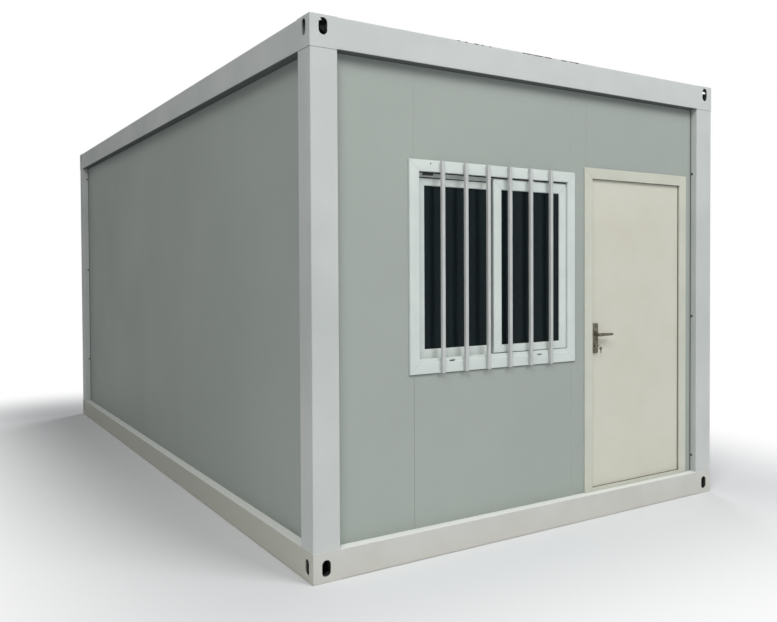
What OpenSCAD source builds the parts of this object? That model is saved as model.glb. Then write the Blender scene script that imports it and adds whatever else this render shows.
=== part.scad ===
// Flat-pack prefab cabin: a bolted steel frame with slotted corner fittings,
// sandwich wall panels, a sliding window behind security bars and a hinged steel door.
// Millimetres, +Z up. The front faces -Y and the origin is the bottom centre.

/* [Overall] */
// Width across the front, over the steel frame
unit_width = 3000; // [2900:10:3400]
// Length from front to back, over the steel frame
unit_length = 5950; // [4000:10:7200]
// Height from the ground to the top of the roof frame
unit_height = 2800; // [2600:10:3100]

/* [Steel frame] */
// Width of each face of a corner post and of its fittings
post_w = 150; // [135:1:200]
// Depth of the wall's outer face behind the frame's faces
wall_recess = 55; // [45:1:70]
// Height of the base beams
base_h = 155; // [140:1:200]
// Height of the roof beams
roof_h = 160; // [150:1:200]
// How far a beam section reaches past the wall's inner face
beam_inset = 7; // [5:1:30]
// Thickness of the cold-formed beam steel
steel_t = 3; // [2:0.5:5]
// Outside bend radius of the beams and posts
bend_r = 6; // [5.5:0.5:10]
// How far the posts stand back from the corner fittings
post_setback = 2; // [0.5:0.5:4]
// Height of the turned-in lips of a base beam
base_lip = 40; // [25:1:60]

/* [Gutter] */
// Depth of the gutter inside a roof beam
gutter_d = 70; // [50:1:90]
// Width of the roof beam's top flange
top_flange = 30; // [20:1:45]
// Height of the turned-down lip of the top flange
flange_lip = 14; // [8:1:25]
// Drop from the frame's top to the seat of the roof sheet
sheet_drop = 20; // [18:1:40]
// Overhang of the roof sheet over the gutters
sheet_over = 15; // [5:1:30]
// Clearance of the roof sheet, the ceiling and the floor round the corner fittings
corner_clear = 0.5; // [0.3:0.1:2]

/* [Corner fittings] */
// Plate thickness of a corner fitting
fitting_t = 6; // [4:0.5:10]
// Width of a lifting slot
slot_w = 48; // [36:1:60]
// Length of a lifting slot, end to end
slot_h = 84; // [70:1:100]
// Distance of a slot's centre from the corner
slot_inset = 72; // [60:1:80]
// Height of the base slots' centres above the ground
base_slot_z = 72; // [60:1:85]
// Depth of the roof slots' centres below the frame's top
roof_slot_drop = 56; // [52:1:75]

/* [Floor] */
// Thickness of the floor board
floor_t = 18; // [12:1:25]
// Height of a floor joist
joist_h = 80; // [60:1:100]
// Width of a floor joist
joist_w = 45; // [30:1:60]
// Thickness of the joist steel
joist_t = 2.5; // [1.5:0.5:4]
// Height of the lips of a floor joist
joist_lip = 15; // [8:1:25]
// Largest distance between floor joists
joist_pitch = 600; // [400:10:800]

/* [Roof and ceiling] */
// Thickness of the roof sheet
sheet_t = 1; // [0.6:0.1:2]
// Height of a roof rib
rib_h = 14; // [8:1:17]
// Distance between roof ribs
rib_pitch = 230; // [150:5:350]
// Width of a roof rib at its foot
rib_foot = 56; // [40:1:80]
// Width of a roof rib at its crest
rib_crest = 24; // [10:1:36]
// Thickness of the ceiling panels
ceiling_t = 12; // [8:1:30]
// Depth of the grooves between the ceiling's boards
ceiling_groove = 3; // [1:0.5:6]
// Width of a ceiling board
ceiling_board = 200; // [120:5:300]

/* [Wall panels] */
// Thickness of the sandwich panels
wall_t = 50; // [45:1:75]
// Largest width of a wall panel
panel_w = 1150; // [900:10:1200]
// Open joint between two panels
joint_gap = 1.5; // [0.5:0.5:4]
// Thickness of a panel's tongue
tongue_t = 16; // [10:1:24]
// Length of a panel's tongue
tongue_l = 12; // [8:1:20]
// Clearance of a tongue in its groove
tongue_clear = 0.6; // [0.3:0.1:2]
// Distance from the frame's corner to the end of a side wall
wall_end = 100; // [80:1:125]
// Gap between a front or back panel and the side wall
wall_corner_gap = 0.8; // [0.5:0.1:5]

/* [Window] */
// Distance from the left end of the front to the window's casing
window_side = 587; // [560:1:800]
// Outer height of the window's casing
window_h = 1154; // [800:1:1250]
// Height of the casing's lower edge above the ground
window_z = 987; // [850:1:1100]
// Width of the wall between the window's casing and the door's frame
window_door_gap = 81; // [75:1:150]
// Face width of the casing
casing_w = 62; // [50:1:80]
// Thickness of the casing on the wall's face
casing_t = 12; // [8:1:18]
// Bevel of the casing's edges
casing_bevel = 3; // [1:0.5:5]
// Lap of the casing over the wall
casing_lap = 30; // [20:1:40]
// Clearance of the window's frame in the wall
frame_clear = 2; // [1:0.5:5]
// Height of the sill's upstand above the casing
sill_up = 20; // [10:1:35]
// Face width of the sash profile
sash_face = 60; // [45:1:70]
// Thickness of the sash profile
sash_t = 20; // [16:1:21]
// Bevel of the sash profile's inner edge
sash_bevel = 4; // [1:0.5:6]
// Lap of a sash behind the casing at its sides
sash_lap = 4; // [2:0.5:8]
// Depth of a sash behind the sill's upstand
sash_sink = 12; // [6:1:15]
// Open height between a sash and the window's head
head_gap = 11; // [6:1:16]
// Overlap of the two sashes at the meeting stiles
sash_overlap = 48; // [30:1:60]
// Clearance of a sash in its track
track_clear = 0.8; // [0.4:0.1:1.5]
// Thickness of the rib between the two tracks
track_rib = 3; // [2:0.5:4]
// Drop of that rib below the window's head
rib_drop = 28; // [16:1:40]
// Thickness of the glass
glass_t = 5; // [4:1:8]
// Depth of the glass in the sash
glass_bite = 9; // [6:1:15]
// Clearance of the glass in its groove
glass_clear = 0.4; // [0.2:0.1:1]

/* [Window bars] */
// Width of a square security bar
bar_w = 20; // [14:1:25]
// Corner radius of a security bar
bar_r = 2.5; // [1:0.5:4]
// Wall of a security bar
bar_t = 1.5; // [1:0.1:2]
// Number of security bars
bar_count = 6; // [4:1:6]
// Distance from a side of the casing's inner edge to the middle of the first bar
bar_side = 143; // [60:1:200]

/* [Door] */
// Outer width of the door's frame
door_w = 937; // [880:1:1000]
// Height of the wall between the door's frame and the roof beam
lintel_h = 460; // [300:1:560]
// Distance from the door's frame to the right end of the front
door_side = 211; // [190:1:260]
// Face width of the door's frame
door_face = 65; // [55:1:80]
// Thickness of the door's frame on the wall's face
door_proud = 12; // [8:1:18]
// Lap of the door's frame over the wall
door_lap = 20; // [12:1:24]
// Clearance of the door's frame in the wall
door_clear = 0.8; // [0.5:0.1:5]
// Height of the threshold's face
threshold_h = 23; // [20:1:40]
// Lap of the stop over the leaf's edge
stop_lap = 6; // [4:1:10]
// Gap between the leaf's edge and the frame
leaf_gap = 7; // [6:0.5:10]
// Gap between the stop and the leaf
seal_gap = 5; // [5:0.5:8]
// Thickness of the door leaf
leaf_t = 42; // [35:1:44]
// Thickness of the frame's inner flange
inner_flange_t = 6; // [3:0.5:8]
// How far the inner flange stands back from the frame's edge
inner_flange_back = 8; // [7:1:15]

/* [Hinges] */
// Number of hinges
hinge_count = 3; // [2:1:4]
// Distance of the end hinges from the leaf's ends
hinge_end = 230; // [150:5:400]
// Height of one hinge
hinge_h = 100; // [70:2:120]
// Radius of a hinge knuckle
knuckle_r = 5.5; // [5:0.25:6]
// Radius of a hinge pin
pin_r = 3; // [2.5:0.25:3.5]
// Radial clearance of a hinge pin
pin_clear = 0.05; // [0.03:0.01:0.1]
// Gap between the two knuckles of a hinge
knuckle_gap = 0.3; // [0.2:0.1:0.5]
// Distance of the hinge axis behind the leaf's inner face
hinge_out = 9; // [9:0.5:12]
// Width of a hinge flap
flap_w = 34; // [24:1:40]
// Thickness of a hinge flap
flap_t = 2.5; // [2:0.5:3]

/* [Lock] */
// Height of the lever's axis above the ground
lever_z = 1141; // [1000:1:1250]
// Distance of the lever's axis from the leaf's edge
backset = 37; // [34:1:60]
// Width of a lock plate
plate_w = 48; // [40:1:52]
// Height of a lock plate
plate_h = 186; // [150:1:240]
// Thickness of a lock plate
plate_t = 8; // [5:0.5:10]
// Height of the lever's axis above the plate's middle
lever_rise = 23; // [10:1:35]
// Distance of the key barrel below the lever's axis
barrel_drop = 68; // [55:1:72]
// Radius of the key barrel
barrel_r = 8.5; // [7:0.5:10]
// Length of the key barrel past the plate
barrel_out = 4; // [2:0.5:8]
// Radius of the lever's spindle
spindle_r = 5; // [4:0.5:6]
// Radial clearance of the spindle in the plates
spindle_clear = 0.08; // [0.05:0.01:0.1]
// Radius of the lever's neck
neck_r = 8.5; // [7:0.5:10]
// Gap between a lever's neck and its plate
neck_gap = 0.4; // [0.3:0.1:1]
// Distance from the plate to the lever's outer face
lever_out = 42; // [36:1:43]
// Length of the lever from its axis
lever_l = 118; // [90:1:130]
// Radius of the lever's round end over its axis
lever_hub_r = 11; // [9:0.5:14]
// Radius of the lever's tip
lever_tip_r = 7.5; // [6:0.5:9]
// Thickness of the lever
lever_t = 11; // [8:0.5:14]

/* [Hidden] */
$fn = 64;
// Overlap of a cut past the face that it opens
cut = 1;
wall_in = wall_recess + wall_t;
beam_w = wall_in + beam_inset;
// Seats of the roof sheet and the ceiling reach as far as the corner fittings
corner_notch = post_w - beam_w + corner_clear;
seat_w = post_w - beam_w - corner_clear;
wall_top = unit_height - roof_h;
wall_h = wall_top - base_h;
base_slot = base_slot_z;
roof_slot = unit_height - roof_slot_drop;

// Door across the front: left and right edges of its frame, and its hole in the wall
door_x1 = unit_width / 2 - door_side;
door_x0 = door_x1 - door_w;
door_h = wall_h - lintel_h;
door_z1 = base_h + door_h;
door_hole_x0 = door_x0 + door_lap;
door_hole_x1 = door_x1 - door_lap;
door_hole_z1 = door_z1 - door_lap;
leaf_edge = door_face - stop_lap;
frame_edge = leaf_edge - leaf_gap;
leaf_x0 = door_x0 + leaf_edge;
leaf_x1 = door_x1 - leaf_edge;
leaf_z0 = base_h + threshold_h - stop_lap;
leaf_z1 = door_z1 - leaf_edge;
leaf_q0 = wall_recess + seal_gap;
leaf_q1 = leaf_q0 + leaf_t;
hinge_x = leaf_x1 + leaf_gap / 2;
hinge_q = leaf_q1 + hinge_out;
lever_x = leaf_x0 + backset;
plate_z = lever_z - lever_rise;

// Window across the front: its casing, its hole in the wall and its opening
window_x1 = door_x0 - window_door_gap;
window_x0 = window_side - unit_width / 2;
window_w = window_x1 - window_x0;
window_x = (window_x0 + window_x1) / 2;
window_z1 = window_z + window_h;
hole_x0 = window_x0 + casing_lap;
hole_x1 = window_x1 - casing_lap;
hole_z0 = window_z + casing_lap;
hole_z1 = window_z1 - casing_lap;
open_x0 = window_x0 + casing_w;
open_x1 = window_x1 - casing_w;
open_z0 = window_z + casing_w + sill_up;
open_z1 = window_z1 - casing_w;
track_w = sash_t + 2 * track_clear;
track_q = (wall_t - 2 * track_w - track_rib) / 2;
sash_x0 = open_x0 - sash_lap;
sash_x1 = open_x1 + sash_lap;
sash_w = (sash_x1 - sash_x0 + sash_overlap) / 2;
sash_z0 = open_z0 - sash_sink;
sash_z1 = open_z1 - head_gap;
sash_h = sash_z1 - sash_z0;
bar_pitch = (open_x1 - open_x0 - 2 * bar_side) / (bar_count - 1);

// Paint, panel and fitting colours
frame_colour = "#C2C6C4";
panel_colour = "#A0A8A3";
sheet_colour = "#B9BDBB";
floor_colour = "#8C8478";
window_colour = "#DDE2DF";
glass_colour = "#1A2426";
bar_colour = "#CDD0CE";
door_colour = "#CFCDBF";
door_frame_colour = "#CBCEC2";
lock_colour = "#39352E";
hinge_colour = "#9A9C9A";

// Sides of the building: a turn that brings each side to the front, and its depth from the centre
FRONT = [0, unit_length, unit_width];
RIGHT = [90, unit_width, unit_length];
BACK = [180, unit_length, unit_width];
LEFT = [270, unit_width, unit_length];

// Local axes on a side: x along it, y inwards from the frame's face, z up
module on_side(side) rotate(side[0]) translate([0, -side[1] / 2, 0]) children();

// Local axes at a corner: x and y inwards from the frame's two faces
module at_corner(side) rotate(side[0]) translate([-side[2] / 2, -side[1] / 2, 0]) children();

// Rectangle with round corners
module round_rect(w, h, r) {
    translate([r, 0]) square([w - 2 * r, h]);
    translate([0, r]) square([w, h - 2 * r]);
    for (x = [r, w - r], y = [r, h - r]) translate([x, y]) circle(r);
}

// Bar along x from a section drawn with x inwards and y up
module run_bar(length) rotate([90, 0, 90]) linear_extrude(length, center = true) children();

// Box between two corners
module span(low, high) translate(low) cube(high - low);

// Room between the beams, less a notch round each corner fitting
module between_beams() difference() {
    children();
    for (side = [FRONT, RIGHT, BACK, LEFT]) at_corner(side) translate([0, 0, -cut])
        cube([beam_w + corner_notch, beam_w + corner_notch, unit_height + 2 * cut]);
}

// Corner of the frame

// Slot with round ends, w wide and h long, standing upright and running inwards along y
module lifting_slot(depth) rotate([-90, 0, 0]) translate([0, 0, -cut]) linear_extrude(depth + cut) {
    square([slot_w, slot_h - slot_w], center = true);
    for (end = [-1, 1]) translate([0, end * (slot_h - slot_w) / 2]) circle(slot_w / 2);
}

// Hollow welded fitting with a slot in each outer face and a round hole in its top or bottom plate
module corner_fitting(h, slot_z, hole_z) difference() {
    linear_extrude(h) round_corner_plan();
    translate([fitting_t, fitting_t, fitting_t])
        cube([post_w - 2 * fitting_t, post_w - 2 * fitting_t, h - 2 * fitting_t]);
    translate([slot_inset, 0, slot_z]) lifting_slot(fitting_t + cut);
    translate([0, slot_inset, slot_z]) rotate(-90) lifting_slot(fitting_t + cut);
    translate([slot_inset, slot_inset, hole_z - cut]) cylinder(r = slot_w / 2, h = fitting_t + 2 * cut);
}

// Square plan with the outer corner rounded
module round_corner_plan() {
    translate([bend_r, 0]) square([post_w - bend_r, post_w]);
    translate([0, bend_r]) square([post_w, post_w - bend_r]);
    translate([bend_r, bend_r]) circle(bend_r);
}

module base_corner(side) color(frame_colour)
    at_corner(side) corner_fitting(base_h, base_slot, 0);

module roof_corner(side) color(frame_colour)
    at_corner(side) translate([0, 0, wall_top])
        corner_fitting(roof_h, roof_slot - wall_top, roof_h - fitting_t);

// L-shaped tube: two legs, each closed against the wall's outer face
module post_section(inset) {
    leg = post_w - post_setback - 2 * inset;
    depth = wall_recess - post_setback - 2 * inset;
    corner = post_setback + inset;
    radius = bend_r - inset;
    translate([corner, corner]) round_rect(leg, depth, radius);
    translate([corner, corner]) round_rect(depth, leg, radius);
}

module corner_post(side) color(frame_colour)
    at_corner(side) translate([0, 0, base_h]) linear_extrude(wall_h) difference() {
        post_section(0);
        post_section(steel_t);
    }

// Beams

// Lipped channel, open towards the inside
module base_section() difference() {
    round_rect(beam_w, base_h, bend_r);
    translate([steel_t, steel_t])
        round_rect(beam_w - 2 * steel_t, base_h - 2 * steel_t, bend_r - steel_t);
    translate([beam_w - steel_t - cut, base_lip])
        square([steel_t + 2 * cut, base_h - 2 * base_lip]);
}

// Box section with a gutter in its top, a seat for the roof sheet and a seat for the ceiling
module roof_section() {
    gutter_v = roof_h - gutter_d;
    sheet_v = roof_h - sheet_drop;
    difference() {
        round_rect(beam_w, roof_h, bend_r);
        translate([steel_t, steel_t])
            round_rect(beam_w - 2 * steel_t, gutter_v - 2 * steel_t, bend_r - steel_t);
        translate([steel_t, gutter_v]) square([beam_w - 2 * steel_t, gutter_d - steel_t]);
        translate([top_flange, roof_h - bend_r]) square([beam_w, bend_r + cut]);
        translate([beam_w - steel_t - cut, sheet_v]) square([steel_t + 2 * cut, roof_h]);
    }
    translate([top_flange - steel_t, roof_h - flange_lip]) square([steel_t, flange_lip]);
    translate([beam_w - steel_t, sheet_v - steel_t]) square([seat_w + steel_t, steel_t]);
    translate([beam_w - bend_r, 0]) square([seat_w + bend_r, steel_t]);
}

module base_beam(side) color(frame_colour)
    on_side(side) run_bar(side[2] - 2 * post_w) base_section();

module roof_beam(side) color(frame_colour)
    on_side(side) translate([0, 0, wall_top]) run_bar(side[2] - 2 * post_w) roof_section();

// Floor

floor_x = unit_width / 2 - beam_w;
floor_y = unit_length / 2 - beam_w;
joist_count = ceil(2 * floor_y / joist_pitch) - 1;
joist_step = 2 * floor_y / (joist_count + 1);

module joist_section() difference() {
    square([joist_w, joist_h]);
    translate([joist_t, joist_t]) square([joist_w - 2 * joist_t, joist_h - 2 * joist_t]);
    translate([joist_w - joist_t - cut, joist_lip])
        square([joist_t + 2 * cut, joist_h - 2 * joist_lip]);
}

module floor_joists() color(frame_colour)
    for (i = [1 : joist_count])
        translate([0, -floor_y + i * joist_step - joist_w / 2, base_h - floor_t - joist_h])
            run_bar(2 * floor_x) joist_section();

module floor_board() color(floor_colour) between_beams()
    translate([-floor_x, -floor_y, base_h - floor_t]) cube([2 * floor_x, 2 * floor_y, floor_t]);

// Roof and ceiling

sheet_x = unit_width / 2 - beam_w + sheet_over;
sheet_y = unit_length / 2 - beam_w + sheet_over;
rib_count = floor((2 * sheet_y - rib_foot) / rib_pitch);
rib_y0 = -(rib_count - 1) * rib_pitch / 2;

// Ribbed line along the roof, lifted by up
function rib_line(up) = [
    [-sheet_y, up],
    for (i = [0 : rib_count - 1])
        for (p = [[-rib_foot, 0], [-rib_crest, rib_h], [rib_crest, rib_h], [rib_foot, 0]])
            [rib_y0 + i * rib_pitch + p[0] / 2, p[1] + up],
    [sheet_y, up]
];
function reversed(list) = [for (i = [len(list) - 1 : -1 : 0]) list[i]];

module roof_sheet() color(sheet_colour) between_beams()
    translate([0, 0, unit_height - sheet_drop]) run_bar(2 * sheet_x)
        polygon(concat(rib_line(0), reversed(rib_line(sheet_t))));

board_count = round(2 * floor_y / ceiling_board);
board_step = 2 * floor_y / board_count;

// Row of boards with a groove between each two of them on the lower face
module ceiling() color(sheet_colour) between_beams()
    translate([0, 0, wall_top + steel_t]) run_bar(2 * floor_x) polygon(concat(
        [[-floor_y, ceiling_t], [-floor_y, 0]],
        [for (i = [1 : board_count - 1], p = [[-1, 0], [0, 1], [1, 0]])
            [-floor_y + i * board_step + p[0] * ceiling_groove, p[1] * ceiling_groove]],
        [[floor_y, 0], [floor_y, ceiling_t]]
    ));

// Walls

// Plan of a panel between two joints, with a tongue at its right and a groove at its left
module panel_plan(x0, x1, first, last) {
    groove_t = tongue_t + 2 * tongue_clear;
    difference() {
        translate([x0, wall_recess]) square([x1 - x0, wall_t]);
        if (!first)
            translate([x0 - cut, wall_recess + (wall_t - groove_t) / 2])
                square([tongue_l + cut, groove_t]);
    }
    if (!last)
        translate([x1 - cut, wall_recess + (wall_t - tongue_t) / 2])
            square([tongue_l + joint_gap - tongue_clear + cut, tongue_t]);
}

// Row of equal panels from x0 to x1, none wider than the stock
module panel_row(x0, x1) {
    count = ceil((x1 - x0 - joint_gap) / panel_w);
    step = (x1 - x0) / count;
    translate([0, 0, base_h]) for (i = [0 : count - 1])
        linear_extrude(wall_h) panel_plan(
            x0 + i * step + (i == 0 ? 0 : joint_gap / 2),
            x0 + (i + 1) * step - (i == count - 1 ? 0 : joint_gap / 2),
            i == 0, i == count - 1
        );
}

side_run = unit_length / 2 - wall_end;
end_run = unit_width / 2 - wall_in - wall_corner_gap;

module left_wall() color(panel_colour) on_side(LEFT) panel_row(-side_run, side_run);
module right_wall() color(panel_colour) on_side(RIGHT) panel_row(-side_run, side_run);
module back_wall() color(panel_colour) on_side(BACK) panel_row(-end_run, end_run);

// Piece of the front wall between two heights
module front_panel(x0, x1, z0, z1) color(panel_colour)
    on_side(FRONT) span([x0, wall_recess, z0], [x1, wall_in, z1]);

module front_wall_left() front_panel(-end_run, hole_x0, base_h, wall_top);
module front_wall_under_window() front_panel(hole_x0 + joint_gap, hole_x1, base_h, hole_z0);
module front_wall_over_window() front_panel(hole_x0 + joint_gap, hole_x1, hole_z1, wall_top);
module front_wall_middle() front_panel(hole_x1 + joint_gap, door_hole_x0, base_h, wall_top);
module front_wall_over_door()
    front_panel(door_hole_x0 + joint_gap, door_hole_x1 - joint_gap, door_hole_z1, wall_top);
module front_wall_right() front_panel(door_hole_x1, end_run, base_h, wall_top);

// Mitred frames

// One bar of a mitred frame, its outer edge on z = 0, from a section with x inwards and y across the face
module mitred_bar(length, face) intersection() {
    run_bar(length) children();
    rotate([90, 0, 0]) linear_extrude(4 * face, center = true)
        polygon([[-length / 2, 0], [length / 2, 0], [length / 2 - face, face], [face - length / 2, face]]);
}

// Frame of four mitred bars around the middle of a w by h rectangle
module mitred_frame(w, h, face) {
    for (turn = [0, 180]) rotate([0, turn, 0]) translate([0, 0, -h / 2]) mitred_bar(w, face) children();
    for (turn = [90, 270]) rotate([0, turn, 0]) translate([0, 0, -w / 2]) mitred_bar(h, face) children();
}

// Window

// Bevelled strip on the face of the wall
module casing_section() polygon([
    [0, 0], [0, casing_w], [casing_bevel - casing_t, casing_w], [-casing_t, casing_w - casing_bevel],
    [-casing_t, casing_bevel], [casing_bevel - casing_t, 0]
]);

// Depth of a track's front behind the wall's face: 0 is the outer track, 1 the inner one
function track_front(i) = track_q + i * (track_w + track_rib);

// Box that a sash runs in, up into the head and down to its seat on the sill
module track(i) span(
    [sash_x0 - track_clear, track_front(i), sash_z0],
    [sash_x1 + track_clear, track_front(i) + track_w, open_z1 + head_gap / 2]
);

// Rib that guides the top of a sash
module head_guide(i) {
    middle = track_front(i) + track_w / 2;
    span([open_x0 - cut, middle - track_rib / 2, sash_z1 + track_clear],
         [open_x1 + cut, middle + track_rib / 2, open_z1 + head_gap]);
}

// Rib between the tracks that hangs from the head in front of the inner sash
module head_rib() span(
    [open_x0 - cut, track_front(0) + track_w, open_z1 - rib_drop],
    [open_x1 + cut, track_front(1), open_z1 + head_gap / 2]
);

module window_frame() color(window_colour) on_side(FRONT) translate([0, wall_recess, 0]) {
    translate([window_x, 0, (window_z + window_z1) / 2])
        mitred_frame(window_w, window_h, casing_w) casing_section();
    span([open_x0 - cut, casing_bevel - casing_t, open_z0 - sill_up - cut], [open_x1 + cut, 0, open_z0]);
    difference() {
        span([hole_x0 + joint_gap + frame_clear, -cut, hole_z0 + frame_clear],
             [hole_x1 - frame_clear, wall_t, hole_z1 - frame_clear]);
        span([open_x0, -2 * cut, open_z0], [open_x1, wall_t + cut, open_z1]);
        for (i = [0, 1]) track(i);
    }
    for (i = [0, 1]) head_guide(i);
    head_rib();
}

// Sash profile with a bevelled inner edge and a groove for the glass
module sash_section() difference() {
    polygon([
        [0, 0], [sash_t, 0], [sash_t, sash_face], [sash_bevel, sash_face], [0, sash_face - sash_bevel]
    ]);
    translate([sash_t / 2 - glass_t / 2 - glass_clear, sash_face - glass_bite - glass_clear])
        square([glass_t + 2 * glass_clear, glass_bite + glass_clear + cut]);
}

// Middle of a sash: 0 is the right one on the outer track, 1 the left one on the inner track
function sash_x(i) = i == 0 ? sash_x1 - sash_w / 2 : sash_x0 + sash_w / 2;

module at_sash(i) on_side(FRONT)
    translate([sash_x(i), wall_recess + track_front(i) + track_clear, (sash_z0 + sash_z1) / 2]) children();

module window_sashes() color(window_colour)
    for (i = [0, 1]) at_sash(i) mitred_frame(sash_w, sash_h, sash_face) sash_section();

module window_glass() color(glass_colour)
    for (i = [0, 1]) at_sash(i) {
        half_w = sash_w / 2 - sash_face + glass_bite;
        half_h = sash_h / 2 - sash_face + glass_bite;
        span([-half_w, (sash_t - glass_t) / 2, -half_h], [half_w, (sash_t + glass_t) / 2, half_h]);
    }

// Upright square tubes on the face of the casing
module window_bars() color(bar_colour) on_side(FRONT)
    for (i = [0 : bar_count - 1])
        translate([
            open_x0 + bar_side + i * bar_pitch - bar_w / 2,
            wall_recess - casing_t - bar_w,
            window_z
        ])
            linear_extrude(window_h) difference() {
                round_rect(bar_w, bar_w, bar_r);
                translate([bar_t, bar_t]) square(bar_w - 2 * bar_t);
            }

// Door frame

// Section of a jamb or head: y across the face from its outer edge, x inwards from the wall's face
module door_frame_section() polygon([
    [-door_proud, 0], [0, 0], [0, door_lap + door_clear], [wall_t, door_lap + door_clear],
    [wall_t, door_clear], [wall_t + inner_flange_t, door_clear],
    [wall_t + inner_flange_t, frame_edge - inner_flange_back], [wall_t, frame_edge - inner_flange_back],
    [wall_t, frame_edge], [0, frame_edge], [0, door_face], [-door_proud, door_face]
]);

// Upright of the door's frame, mitred at its top, its outer edge on x = 0
module jamb_bar() intersection() {
    linear_extrude(door_h) rotate(90) mirror([0, 1]) door_frame_section();
    rotate([90, 0, 0]) linear_extrude(4 * wall_in, center = true)
        polygon([[0, 0], [door_face, 0], [door_face, door_h - door_face], [0, door_h]]);
}

module on_door_frame() on_side(FRONT) translate([0, wall_recess, base_h]) children();

module door_jamb_left() color(door_frame_colour) on_door_frame() translate([door_x0, 0, 0]) jamb_bar();
module door_jamb_right() color(door_frame_colour)
    on_door_frame() translate([door_x1, 0, 0]) mirror([1, 0, 0]) jamb_bar();

module door_head() color(door_frame_colour) on_door_frame()
    translate([(door_x0 + door_x1) / 2, 0, door_h]) rotate([0, 180, 0])
        mitred_bar(door_w, door_face) door_frame_section();

// Threshold between the jambs: a face strip and a lower tread under the leaf
module door_threshold() color(door_frame_colour) on_door_frame() {
    tread_h = threshold_h - stop_lap - leaf_gap;
    span([door_x0 + door_face, -door_proud, 0], [door_x1 - door_face, 0, threshold_h]);
    span([door_x0 + frame_edge, 0, 0], [door_x1 - frame_edge, wall_t, tread_h]);
}

// Hinges, on the inside of the right jamb

hinge_span = leaf_z1 - leaf_z0 - 2 * hinge_end;
function hinge_z(i) = leaf_z0 + hinge_end + i * hinge_span / (hinge_count - 1);

module at_hinges() on_side(FRONT)
    for (i = [0 : hinge_count - 1]) translate([hinge_x, hinge_q, hinge_z(i)]) children();

// Inner face of the jamb, seen from the hinge axis
jamb_face = wall_in + inner_flange_t - hinge_q;

// Lower knuckle with its pin and the flap that is screwed to the jamb
module door_hinge_pins() color(hinge_colour) at_hinges() {
    half = hinge_h / 2;
    flap_x0 = leaf_gap / 2 + inner_flange_back;
    translate([0, 0, -half]) cylinder(r = knuckle_r, h = half);
    translate([0, 0, -cut]) cylinder(r = pin_r, h = half);
    difference() {
        span([0, jamb_face, -half], [flap_x0 + flap_w, jamb_face + flap_t, 0]);
        translate([0, 0, -half - cut]) cylinder(r = pin_r, h = hinge_h);
    }
}

// Upper knuckle with its bore and the flap that is screwed to the leaf
module door_hinge_flaps() color(hinge_colour) at_hinges() {
    half = hinge_h / 2;
    edge = -leaf_gap / 2;
    difference() {
        union() {
            translate([0, 0, knuckle_gap]) cylinder(r = knuckle_r, h = half - knuckle_gap);
            span([edge - flap_t, -hinge_out, knuckle_gap], [edge, 0, half]);
            span([edge - flap_w, -hinge_out, knuckle_gap], [edge, flap_t - hinge_out, half]);
        }
        translate([0, 0, -cut]) cylinder(r = pin_r + pin_clear, h = half);
    }
}

// Door leaf and lock

module on_lever() on_side(FRONT) translate([lever_x, 0, lever_z]) children();

// Drilled slab: a wide hole for the lever's spindle and one for the key barrel
module door_leaf() color(door_colour) difference() {
    on_side(FRONT) span([leaf_x0, leaf_q0, leaf_z0], [leaf_x1, leaf_q1, leaf_z1]);
    on_lever() translate([0, leaf_q0 - cut, 0]) rotate([-90, 0, 0])
        cylinder(r = neck_r, h = leaf_t + 2 * cut);
}

// One plate on each face of the leaf, with the key barrel standing out of it
module lock_plates() color(lock_colour)
    for (face = [0, 1]) on_lever() translate([0, face == 0 ? leaf_q0 : leaf_q1, 0]) mirror([0, 1 - face, 0])
        difference() {
            union() {
                translate([0, plate_t, plate_z - lever_z]) rotate([90, 0, 0])
                    linear_extrude(plate_t) translate([-plate_w / 2, -plate_h / 2])
                        round_rect(plate_w, plate_h, plate_t);
                translate([0, 0, -barrel_drop]) rotate([-90, 0, 0])
                    cylinder(r = barrel_r, h = plate_t + barrel_out);
            }
            translate([0, -cut, 0]) rotate([-90, 0, 0])
                cylinder(r = spindle_r + spindle_clear, h = plate_t + 2 * cut);
        }

// Outline of a lever that narrows from its hub to its tip, along x
module lever_outline() {
    tip_x = lever_l - lever_tip_r;
    circle(lever_hub_r);
    translate([tip_x, 0]) circle(lever_tip_r);
    polygon([[0, -lever_hub_r], [tip_x, -lever_tip_r], [tip_x, lever_tip_r], [0, lever_hub_r]]);
}

// Two levers on one spindle through the leaf
module door_lever() color(lock_colour) on_lever() {
    outer = leaf_q0 - plate_t;
    inner = leaf_q1 + plate_t;
    neck_h = lever_out - neck_gap - lever_t / 2;
    translate([0, outer - lever_t, 0]) rotate([-90, 0, 0])
        cylinder(r = spindle_r, h = inner - outer + 2 * lever_t);
    for (face = [0, 1]) translate([0, face == 0 ? outer : inner, 0]) mirror([0, 1 - face, 0]) {
        translate([0, neck_gap, 0]) rotate([-90, 0, 0]) cylinder(r = neck_r, h = neck_h);
        translate([0, lever_out, 0]) rotate([90, 0, 0]) linear_extrude(lever_t) lever_outline();
    }
}

base_corner(FRONT);  // base_corner_front_left
base_corner(RIGHT);  // base_corner_front_right
base_corner(BACK);  // base_corner_back_right
base_corner(LEFT);  // base_corner_back_left
base_beam(FRONT);  // base_beam_front
base_beam(RIGHT);  // base_beam_right
base_beam(BACK);  // base_beam_back
base_beam(LEFT);  // base_beam_left
corner_post(FRONT);  // corner_post_front_left
corner_post(RIGHT);  // corner_post_front_right
corner_post(BACK);  // corner_post_back_right
corner_post(LEFT);  // corner_post_back_left
roof_corner(FRONT);  // roof_corner_front_left
roof_corner(RIGHT);  // roof_corner_front_right
roof_corner(BACK);  // roof_corner_back_right
roof_corner(LEFT);  // roof_corner_back_left
roof_beam(FRONT);  // roof_beam_front
roof_beam(RIGHT);  // roof_beam_right
roof_beam(BACK);  // roof_beam_back
roof_beam(LEFT);  // roof_beam_left
floor_joists();
floor_board();
roof_sheet();
ceiling();
left_wall();
right_wall();
back_wall();
front_wall_left();
front_wall_under_window();
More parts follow.
